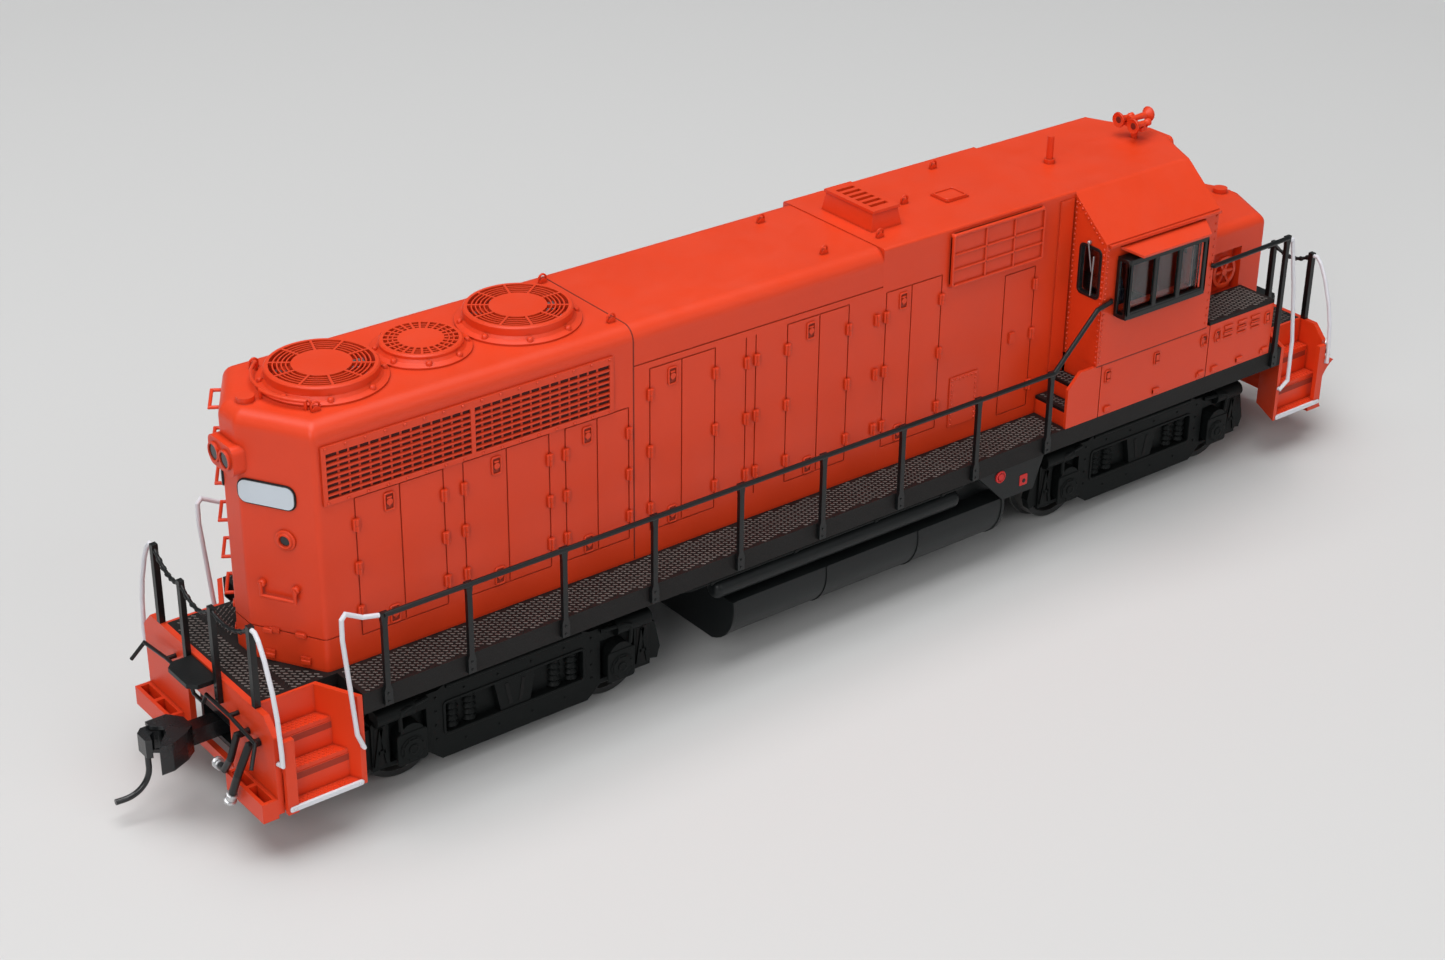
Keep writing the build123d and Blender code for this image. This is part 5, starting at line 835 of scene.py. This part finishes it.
# %% Gaskets
REAR_WINDOW = ((14.3, 41.35), 4.0, 7.3, 0.7)
FRONT_WINDOW = ((-14.3, 41.75), 4.0, 6.5, 0.7)
SHIELD_WINDOW = ((0.0, 45.645), 6.3, 5.21, 0.7)
windows = [(cab_back, REAR_WINDOW), (cab_front, FRONT_WINDOW), (shield_panel, SHIELD_WINDOW)]
gaskets = [rim(plane, *window, -0.28, 0.2, 0.12, sink=0.6) for plane, window in windows]
put("window_gaskets", both(merged(gaskets)), "black_plastic")

# %% [markdown]
# The bay windows have slim frames: a front rim with two bars between its three panes and one low
# bar across them, a rim at each end, and a lid and a floor. Each bay is one piece that stands for
# the solid frame.

# %% Bay frames
BAY_X, BAY_Y, BAY_Z = (42.3, 58.4), (-19.55, -17.15), (34.9, 44.0)
BAY_WALL, BAY_EDGE, BAY_END = 0.35, 0.85, 0.6
bay_mid = [sum(side) / 2 for side in (BAY_X, BAY_Y, BAY_Z)]
bay_size = [side[1] - side[0] for side in (BAY_X, BAY_Y, BAY_Z)]
bay_front = ((0, BAY_Y[0] + BAY_WALL, 0), X, Z)
pane_w, pane_h = bay_size[0] - 2 * BAY_EDGE, bay_size[2] - 2 * BAY_EDGE
bay = [rim(bay_front, (bay_mid[0], bay_mid[2]), pane_w, pane_h, 0.1, 0.0, BAY_EDGE, BAY_WALL, sink=0.0)]
bay += [plate(bay_front, (x, bay_mid[2]), BAY_EDGE, pane_h + 0.2, 0.05, BAY_WALL - 0.03)
        for x in (bay_mid[0] - pane_w / 6, bay_mid[0] + pane_w / 6)]
bay.append(plate(bay_front, (bay_mid[0], BAY_Z[0] + 0.9), pane_w + 0.2, 0.5, 0.05, BAY_WALL - 0.05))
for x, u, v in ((BAY_X[0] + BAY_WALL, -Y, -bay_mid[1]), (BAY_X[1] - BAY_WALL, Y, bay_mid[1])):
    bay.append(rim(((x, 0, 0), u, Z), (v, bay_mid[2]), bay_size[1] - 2 * BAY_END, bay_size[2] - 2 * BAY_END,
                   0.1, 0.0, BAY_END, BAY_WALL, sink=0.0))
for z, v, y in ((BAY_Z[0] + BAY_WALL, -Y, -bay_mid[1]), (BAY_Z[1] - BAY_WALL, Y, bay_mid[1])):
    bay.append(plate(((0, 0, z), X, v), (bay_mid[0], y), bay_size[0] - 0.1, bay_size[1] - 0.1, 0.05,
                     BAY_WALL))
bay = merged(bay)
for side, shape in (("right", bay), ("left", mirrored(bay))):
    piece = put("bay_frame_" + side, shape, "gloss_black", slot="black_plastic")
    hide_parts("bay_window_" + side)

# %% Wipers
PIVOT = [(0.3, -0.1), (0.3, 0.3), (0.2, 0.42), (0.08, 0.44)]
OFF_GLASS, ARM_R, BLADE_R = 0.32, 0.1, 0.12


def wiper(plane, pivot, elbow, top, foot):
    """An arm from the pivot to the elbow and a blade from top to foot, held just off the glass."""
    flat = np.array([pivot, elbow, top, foot], float)
    a, b, c, d = on(plane, flat, OFF_GLASS)
    way = np.cross(plane[1], plane[2])
    arm = tube(row(a, b, 1.0), ARM_R, 6)
    blade = tube(row(c, d, 1.0), BLADE_R, 6)
    return merged([arm, blade, heads([a - OFF_GLASS * way], way, PIVOT)])


wipers = merged([
    wiper(cab_back, (14.0, 45.6), (14.9, 41.6), (15.2, 43.9), (15.05, 38.0)),
    wiper(cab_front, (-14.3, 45.5), (-14.9, 42.2), (-15.0, 44.2), (-14.9, 38.9)),
    wiper(shield_panel, (0.6, 48.75), (-0.6, 45.6), (-0.7, 47.7), (-0.9, 43.3)),
])
put("wipers", both(wipers), "wiper_steel")

# %% [markdown]
# ## Number boards
# The boards are blank white panels set in a dark surround. Only the surround is added here, as a
# frame just outside the board's outline.

# %% Board surrounds
BOARDS = [(rear_panel, ((3.75, 42.15), 7.3, 2.85, 1.0)), (shield_panel, ((0.0, 49.75), 4.6, 1.7, 0.3))]
surrounds = merged([rim(plane, *board, 0.01, 0.2, 0.22) for plane, board in BOARDS])
put("board_surrounds", both(surrounds), "black_plastic")

# %% [markdown]
# ## Safety chains
# Chains droop between the end posts. On the model they are stiff mouldings, so the solid is one
# sagging bar, and the links are put round it: ovals of wire, every second one turned a quarter.

# %% Chain links
LINK_PITCH, LINK_LONG, LINK_WIDE, LINK_WIRE = 0.62, 0.46, 0.30, 0.10


def chain(start, end, sag):
    """Ovals along a parabola z - 4 sag t (1 - t), each a ring of small circles, alternately turned."""
    start, end = np.asarray(start, float), np.asarray(end, float)
    count = int(round(np.linalg.norm(end - start) / LINK_PITCH))
    t = ((np.arange(count) + 0.5) / count)[:, None]
    centre = start + t * (end - start) - 4 * sag * t * (1 - t) * Z
    way = unit(end - start - 4 * sag * (1 - 2 * t) * Z)
    flat = unit(np.cross(way, Z))
    side = np.where(np.arange(count)[:, None] % 2 == 0, flat, np.cross(flat, way))
    face = np.cross(way, side)
    a = (np.arange(10) * 2 * np.pi / 10)[None, :, None]
    out = np.cos(a) * way[:, None] + np.sin(a) * side[:, None]
    oval = LINK_LONG * np.cos(a) * way[:, None] + LINK_WIDE * np.sin(a) * side[:, None]
    b = (np.arange(5) * 2 * np.pi / 5)[None, None, :, None]
    wire = LINK_WIRE * (np.cos(b) * face[:, None, None] + np.sin(b) * out[:, :, None])
    return copies((centre[:, None] + oval)[:, :, None] + wire, closed=True)


OUTER_HOOK, INNER_HOOK = (91.4, -11.9, 29.8), (92.15, -3.8, 28.8)
end_chains = merged([both(chain(OUTER_HOOK, INNER_HOOK, 1.3)), chain(INNER_HOOK, (92.15, 3.8, 28.8), 1.7)])
put("chain_links_front", end_chains, "black_rail")
put("chain_links_rear", turned(end_chains), "black_rail")

# %% [markdown]
# ## Trucks
# Each side frame carries round bearing covers with a ring of bolts, a rim round the window where
# its springs stand, two slots of painted shade in the centre bracket, brake hangers shaped like a
# letter A over pads of painted shade that stand for the openings at its ends, and pipes. They are
# made once round the truck's own centre, mirrored to the other side, and moved to the two trucks,
# so that they ride and swivel with them.

# %% Bearing covers and bolts
AXLE_Z, HALF_BASE, FRAME_FACE, COVER_BACK = 6.43, 15.75, -12.5, -13.35
truck_wall = ((0, FRAME_FACE, 0), X, Z)
COVER = [(1.72, -0.2), (1.72, 0.24), (1.62, 0.3), (1.36, 0.3), (1.30, 0.25)]
CENTRE = [(0.75, -0.1), (0.72, 0.1), (0.5, 0.16), (0.42, 0.06), (0.2, 0.05)]
SMALL_BOLT = [(0.17, -0.05), (0.17, 0.08), (0.12, 0.13), (0.04, 0.14)]
axles = np.array([(-HALF_BASE, COVER_BACK, AXLE_Z), (HALF_BASE, COVER_BACK, AXLE_Z)])
BOLT_CIRCLE, BOLT_COUNT = 1.5, 8
turn = (np.arange(BOLT_COUNT) + 0.5) * 2 * np.pi / BOLT_COUNT
bolt_ring = np.stack([BOLT_CIRCLE * np.cos(turn), np.full(BOLT_COUNT, -0.29), BOLT_CIRCLE * np.sin(turn)], 1)
cover_wall = ((0, COVER_BACK, 0), X, Z)
covers = [plate(cover_wall, (x, AXLE_Z + 0.2), 4.3, 4.5, 0.5, 0.16) for x in (-HALF_BASE, HALF_BASE)]
covers = merged(covers + [
    heads(axles, -Y, COVER, sides=28),
    heads(axles + (0, -0.4, 0), -Y, CENTRE, sides=14),
    heads(axles[:, None] + bolt_ring, -Y, SMALL_BOLT),
])

# %% Brake hangers, bars and pipes
HANGER_X, HANGER_LOW, HANGER_HIGH = 19.65, 5.1, 10.3
BRAKE_SHADE = [(18.6, 4.9), (20.8, 4.9), (20.5, 10.5), (18.9, 10.5)]
TRUCK_PIPE = [(17.2, -13.3, 9.4), (17.3, -13.4, 11.6), (16.6, -13.5, 12.4), (13.0, -12.7, 12.3)]


def slab(plane, outline, thick, sink=0.1):
    """A flat-sided block on a plane: one outline at the foot and again at the face."""
    outline = np.asarray(outline, float)
    return skin(np.stack([on(plane, outline, -sink), on(plane, outline, thick)]))


def beam(plane, start, end, width, thick):
    """A straight flat bar on a plane between two points."""
    start, end = np.asarray(start, float), np.asarray(end, float)
    side = unit(end - start)[::-1] * (1, -1) * width / 2
    return slab(plane, [start + side, end + side, end - side, start - side], thick)


def hanger(way):
    """Two legs and a tie bar of the brake hanger at one end of the frame."""
    top, foot_a, foot_b = (way * HANGER_X, HANGER_HIGH), (way * 18.85, HANGER_LOW), (way * 20.55, HANGER_LOW)
    tie = [(way * 19.15, 7.0), (way * 20.2, 7.0)]
    bars = [(top, foot_a, 0.5), (top, foot_b, 0.5), (*tie, 0.45)]
    return [beam(truck_wall, p, q, w, 0.28) for p, q, w in bars]


# The openings at the frame ends and the slots in the centre bracket are thin pads of painted shade.
shade_pads = []
bars = []
for way in (-1, 1):
    shade_pads.append(slab(truck_wall, [(way * x, z) for x, z in BRAKE_SHADE[::way]], 0.04))
    bars += hanger(way)
    shade_pads.append(beam(truck_wall, (way * 0.7, 6.6), (way * 1.3, 9.8), 0.5, 0.06))
    bars.append(tube(eased(TRUCK_PIPE) * (way, 1, 1), 0.32, 8, helper=(0, 1, 0)))
bars.append(rim(truck_wall, (0, 8.2), 20.6, 4.2, 0.3, 0.02, 0.4, 0.16))
bars.append(tube(row((-10.2, FRAME_FACE, 12.8), (10.2, FRAME_FACE, 12.8), 5.0), 0.28, 8))
frame_bolts = [(x, FRAME_FACE, z) for x in (-11.7, 11.7) for z in (5.6, 7.6, 9.6, 11.6)]
frame_bolts += [(x, FRAME_FACE, z) for z in (11.6, 4.2) for x in (-7.5, -2.5, 2.5, 7.5)]
bars.append(heads(frame_bolts, -Y, SMALL_BOLT))
side_dress = both(merged([covers] + bars))
side_shade = both(merged(shade_pads))
print("truck side faces:", sum(len(f) for f in side_dress[1]))

# %% Set the truck pieces on both trucks
HALF_CENTRES = 56.0


def moved(shape, x):
    """A shape carried along the model."""
    return shape[0] + (x, 0, 0), shape[1]


for name, x in (("front", HALF_CENTRES), ("rear", -HALF_CENTRES)):
    put("truck_fittings_" + name, moved(side_dress, x), "truck_black", "truck_" + name)
    put("brake_shade_pads_" + name, moved(side_shade, x), "deep_shade", "truck_" + name, "truck_black")

# %% [markdown]
# Two small metal parts show at the top of each truck: the copper rivet that holds the contact
# strip and the bare end of its wire. They stand on a lug on the side frame.

# %% Contacts
lug = slab(truck_wall, [(-0.9, 12.6), (2.9, 12.6), (2.9, 14.3), (-0.9, 14.3)], -0.05, sink=0.9)
rivet = heads([(0.0, FRAME_FACE + 0.1, 13.8)], -Y, [(0.55, -0.1), (0.55, 0.3), (0.4, 0.5), (0.15, 0.58)], 12)
wire = tube(eased([(0.3, -12.7, 13.8), (1.2, -12.8, 14.0), (2.6, -12.7, 14.1)]), 0.24, 8)
for name, x in (("front", HALF_CENTRES), ("rear", -HALF_CENTRES)):
    put("contact_lugs_" + name, moved(both(lug), x), "truck_black", "truck_" + name)
    put("contact_rivets_" + name, moved(both(rivet), x), "copper", "truck_" + name)
    put("contact_wires_" + name, moved(both(wire), x), "hose_silver", "truck_" + name)

# %% [markdown]
# ## Fuel tank and sill
# The tank is rolled plate, and thin ribs show where its sheets meet. A rib follows the tank's
# section: an arc on each side and a flat floor. The sill has a pipe under its edge, a red stop
# button with a raised ring and a red square with a dark centre.

# %% Tank ribs
def arc_through(p, q, r, count):
    """Points of the circle through three points, from the first to the last."""
    m = 2 * np.array([np.subtract(q, p), np.subtract(r, p)], float)
    centre = np.linalg.solve(m, [np.dot(q, q) - np.dot(p, p), np.dot(r, r) - np.dot(p, p)])
    ends = [math.atan2(*(np.subtract(s, centre)[::-1])) for s in (p, r)]
    a = np.linspace(ends[0], ends[1] + (2 * math.pi if ends[1] < ends[0] else 0), count)
    radius = np.linalg.norm(np.subtract(p, centre))
    return centre + radius * np.stack([np.cos(a), np.sin(a)], 1)


def band(path, x, width, proud, sink, side):
    """A flat band along a path of (y, z) points; side, 1 or -1, is the side of the path it rises on."""
    way = unit(np.gradient(path, axis=0))
    out = side * np.stack([way[:, 1], -way[:, 0]], 1)
    section = ((width, -sink), (width, proud), (-width, proud), (-width, -sink))
    rings = [np.column_stack([np.full(len(path), x + side * dx), path + out * h]) for dx, h in section]
    return skin(np.stack(rings, 1))


tank_side = arc_through((-16.2, 11.4), (-15.4, 6.9), (-11.8, 4.2), 10)
tank_path = np.vstack([tank_side, tank_side[::-1] * (-1, 1)])
RIBS = ((-24.0, 0.25), (-8.2, 0.15), (8.2, 0.15), (24.0, 0.25))
put("tank_ribs", merged([band(tank_path, x, w, 0.14, 0.1, 1) for x, w in RIBS]), "black_plastic")

# %% Sill pipe and red marks
pipe_run = [(-33.5, -14.0, 15.9), (-32.6, -15.9, 15.95), (-31.0, -16.35, 15.95), (15.6, -16.35, 15.95),
            (16.8, -15.9, 15.95), (17.4, -14.4, 15.9)]
clips = heads([(x, -16.35, 15.95) for x in (-28.0, -14.0, 0.0, 12.0)], X, [(0.42, -0.3), (0.42, 0.3)], 8)
put("sill_pipes", both(merged([tube(pipe_run, 0.28, 8), clips])), "truck_black")
gusset_wall = ((0, -16.9, 0), X, Z)
BUTTON = [(0.92, -0.1), (0.92, 0.16), (0.82, 0.24), (0.7, 0.24), (0.62, 0.12), (0.54, 0.12),
          (0.5, 0.28), (0.12, 0.33)]
BUTTON_AT = [(22.6, -16.9, 15.5)]
marks = merged([heads(BUTTON_AT, -Y, BUTTON, 18), plate(gusset_wall, (27.2, 13.6), 1.5, 1.7, 0.2, 0.12)])
put("stop_buttons", both(marks), "safety_red")
mark_centre = heads([(27.2, -17.0, 13.5)], -Y, [(0.34, -0.05), (0.32, 0.06), (0.1, 0.09)], 12)
put("stop_mark_centres", both(mark_centre), "black_plastic")

# %% [markdown]
# ## Steps and posts
# The treads of the four step wells have rows of small dimples so that a foot grips, and the edge
# of each bottom tread carries a white strip held by two screws. A thin shaded plate stands for the
# gap under each of the two upper treads. Bolts hold the handrail posts to the sill and the end
# posts to the end plate.

# %% Tread dimples and white strips
DIMPLE = [(0.2, -0.04), (0.17, 0.05), (0.08, 0.08)]
DIMPLE_PITCH = 0.6
TREADS = [(15.44, -13.3, -11.8, 84.2), (11.54, -15.2, -13.75, 83.2), (7.64, -16.8, -15.7, 82.2)]


def tread_dimples(z, y0, y1, x0):
    """A staggered grid: rows along the step, every second row moved by half a pitch."""
    x, y = np.meshgrid(np.arange(x0, 90.4, DIMPLE_PITCH), np.arange(y0, y1 + 0.1, DIMPLE_PITCH * 0.8))
    x = x + (np.arange(len(x)) % 2)[:, None] * DIMPLE_PITCH / 2
    return np.stack([x, y, np.full(x.shape, z)], -1).reshape(-1, 3)


dimples = both(heads(np.vstack([tread_dimples(*t) for t in TREADS]), Z, DIMPLE, 5))
put("step_dimples", both_ends(dimples), "orange_plastic")
strip = plate(sill_wall, (85.8, 7.32), 10.0, 0.72, 0.3, 0.2)
strip = merged([strip, heads([(81.4, -17.25, 7.32), (90.2, -17.25, 7.32)], -Y, SMALL_BOLT)])
put("step_strips", both_ends(both(strip)), "white_rail")

# %% Gaps under the treads
STEP_RISE, STEP_T, WELL_RUN, PLATFORM_HALF = 3.9, 0.6, 1.97, 11.18
gaps = []
for i in (1, 2):
    top = DECK - STEP_RISE * i - STEP_T
    riser = ((0, -PLATFORM_HALF - WELL_RUN * i - 0.4, 0), X, Z)
    gaps.append(plate(riser, (86.9 - 0.5 * i, top - 0.5), 7.4 + i, 0.9, 0.1, 0.03, 0.02))
put("step_gaps", both_ends(both(merged(gaps))), "shaded_orange")

# %% Post bolts
POST_FACE = -17.69
posts = np.concatenate([[-77.04], np.linspace(-65.35, 30.8, 8), [78.2]])
post_bolts = [(x, POST_FACE, z) for x in posts for z in (17.45, 18.55)]
end_bolts = [(92.5, y, z) for y in (-3.8, 3.8) for z in (16.6, 18.2)]
put("post_bolts", both(heads(post_bolts, -Y, SMALL_BOLT)), "black_rail")
put("end_post_bolts", both_ends(heads(end_bolts, X, SMALL_BOLT)), "black_rail")

# %% [markdown]
# ## Hose couplings and roof fittings
# Each air hose ends in a bright coupling with a flange, turned round the hose's last stretch. The
# roof eyes are flat discs in the solids, and a ring of wire stands over each for the hook. A bent
# wire runs part of the way round the rear fan, and each horn bell gets a lip with a throat of
# painted shade.

# %% Hose couplings
COUPLING = [(0.45, -1.0), (0.72, -0.85), (0.72, -0.6), (0.5, -0.5), (0.55, 0.1), (0.8, 0.25),
            (0.8, 0.5), (0.35, 0.75)]
HOSES = [((94.0, 7.4, 9.14), (93.7, 5.9, 8.74), -1), ((94.6, 12.0, 11.04), (94.9, 10.8, 8.04), -1),
         ((94.0, -9.6, 15.44), (96.4, -9.0, 13.54), 1), ((94.0, -12.0, 15.14), (96.6, -11.4, 13.54), 1)]
couplings = []
for before, last, end in HOSES:
    way = unit(np.subtract(last, before))
    shape = heads([np.add(last, way)], way, COUPLING, 10)
    couplings.append(shape if end > 0 else turned(shape))
put("hose_couplings", merged(couplings), "hose_silver")

# %% Lifting eyes
EYES = [(-78.5, -7.2, ROOF), (-78.5, 7.2, ROOF), (-37.1, -7.45, ROOF), (-37.1, 7.45, ROOF),
        (-2.3, -6.6, ROOF), (-2.3, 6.6, ROOF), (7.0, -7.0, ROOF + 0.15), (17.5, 0.0, ROOF + 0.15),
        (29.5, 7.5, ROOF + 0.15)]
EYE_RING, EYE_WIRE, EYE_UP = 0.55, 0.14, 0.62
round_eye = (np.arange(16) * np.pi / 8)[:, None]
round_wire = (np.arange(6) * np.pi / 3)[None, :, None]
loop = np.cos(round_eye) * X + np.sin(round_eye) * Z
wire_ring = np.cos(round_wire) * -Y + np.sin(round_wire) * loop[:, None]
eye = EYE_RING * loop[:, None] + EYE_WIRE * wire_ring
rings = copies(np.asarray(EYES)[:, None, None] + EYE_UP * Z + eye[None], closed=True)
put("lifting_eyes", rings, "orange_plastic")

# %% Roof wire
WIRE_R, WIRE_TOP, WIRE_THICK, WIRE_START, WIRE_TURN = 8.28, ROOF + 1.1, 0.2, -231, 102
bend, fall = np.array([0.0, 0.0, 1.0, 3.0]), np.array([1.2, 0.35, 0.08, 0.0])
middle = np.linspace(6, WIRE_TURN - 6, 19)
arc = np.radians(np.concatenate([bend, middle, WIRE_TURN - bend[::-1]]) + WIRE_START)
drop = np.concatenate([fall, np.zeros(len(middle)), fall[::-1]])
spoke = np.cos(arc)[:, None] * X + np.sin(arc)[:, None] * Y
path = np.array((FAN_ROWS[0][0], 0, WIRE_TOP)) + WIRE_R * spoke - drop[:, None] * Z
put("roof_wire", tube(path, WIRE_THICK, 8, spoke), "orange_plastic")

# %% Horn bells
BELLS_REAR, BELLS_FRONT = [(60.12, -1.6, 54.45), (60.38, 1.6, 54.45)], [(64.8, 0.0, 54.85)]
BELL_LIP = [(1.12, -0.1), (1.14, 0.12), (1.08, 0.22), (0.95, 0.16), (0.7, 0.08), (0.3, 0.03)]
BELL_THROAT = [(0.5, 0.0), (0.48, 0.08), (0.1, 0.09)]
# Each throat is a shallow disc of painted shade inside the lip.
for name, profile, finish in (("horn_lips", BELL_LIP, "orange_plastic"),
                              ("horn_throats", BELL_THROAT, "deep_shade_orange")):
    bells = [heads(BELLS_REAR, -X, profile, 14), heads(BELLS_FRONT, X, profile, 14)]
    put(name, merged(bells), finish, slot=None)

# %% [markdown]
# ## Seams, bosses and rims
# A thin line of painted shade shows where the cab stands on the equipment box and where two
# hood sections meet.
# The drop handle on the rear end hangs from two bosses above four small brackets, the marker
# lamp has a raised lip, and the roof hatch has a rim.

# %% Seams
SHOULDER_R = 1.9


def hood_path(roof, low):
    """A line up one side of the hood, round its two shoulders and down the other side."""
    a = np.linspace(np.pi, np.pi / 2, 7)
    turn = SHOULDER_R * np.stack([np.cos(a), np.sin(a)], 1) + (SHOULDER_R - HOOD_HALF, roof - SHOULDER_R)
    return np.vstack([[(-HOOD_HALF, low)], turn, turn[::-1] * (-1, 1), [(HOOD_HALF, low)]])


# Thin strips of painted shade along the seams.
seam = plate(cab_wall, (51.25, 27.55), 22.6, 0.16, 0.05, 0.02, 0.01)
hood_seam = band(hood_path(ROOF, DECK + 0.2), -36.0, 0.09, 0.02, 0.05, -1)
put("body_seam_shade", merged([both(seam), hood_seam]), "deep_shade_orange")

# %% Bosses, marker lip and hatch rim
BOSS = [(0.5, -0.1), (0.5, 0.45), (0.36, 0.6), (0.12, 0.64)]
LIP = [(1.35, -0.1), (1.35, 0.22), (1.22, 0.3), (1.08, 0.3), (1.0, 0.5), (0.84, 0.56),
       (0.72, 0.5), (0.63, 0.1)]
panel_out = np.cross(rear_way, Z)
boss_spots = on(rear_panel, np.array([(2.25, 30.1), (6.78, 30.1)]), 0.0)
bosses = heads(boss_spots, panel_out, BOSS, 12)
BRACKETS = [(2.5, 23.6), (6.9, 23.9), (2.6, 20.2), (7.4, 20.3)]
brackets = merged([plate(rear_panel, spot, 1.25, 0.6, 0.1, 0.42) for spot in BRACKETS])
lip = heads(on(rear_panel, np.array([(5.8, 36.5)]), 0.0), panel_out, LIP, 24)
hatch_top = ((0, 0, ROOF + 0.45), X, Y)
hatch = rim(hatch_top, (24.3, -1.7), 3.3, 2.7, 0.3, 0.0, 0.3, 0.2)
put("rear_bosses", merged([bosses, hatch, both(brackets)]), "orange_plastic")
put("marker_lips", lip, "orange_plastic")

# %% [markdown]
# ## Inside the cab
# Little can be seen through the windows, so the inside is only a dark floor and two seats with
# rounded cushions, each a plate drawn in at its top.

# %% Floor and seats
floor_plane = ((0, 0, 28.65), X, Y)
put("cab_mat", plate(floor_plane, (51.2, 0.0), 20.0, 31.0, 0.5, 0.2), "black_plastic")
seat_plane = ((0, 0, 32.0), X, Y)
back_plane = ((47.6, 0, 0), Y, Z)
seat = merged([
    plate(seat_plane, (50.2, -11.2), 4.6, 4.4, 1.2, 1.1, 0.35),
    plate(back_plane, (-11.2, 35.6), 4.2, 5.4, 1.3, 0.9, 0.35),
    heads([(50.2, -11.2, 28.8)], Z, [(1.0, -0.1), (0.6, 0.3), (0.5, 3.2)], 12),
])
put("cab_seats", both(seat), "seat_blue")

# %% [markdown]
# ## End


print("end of script")
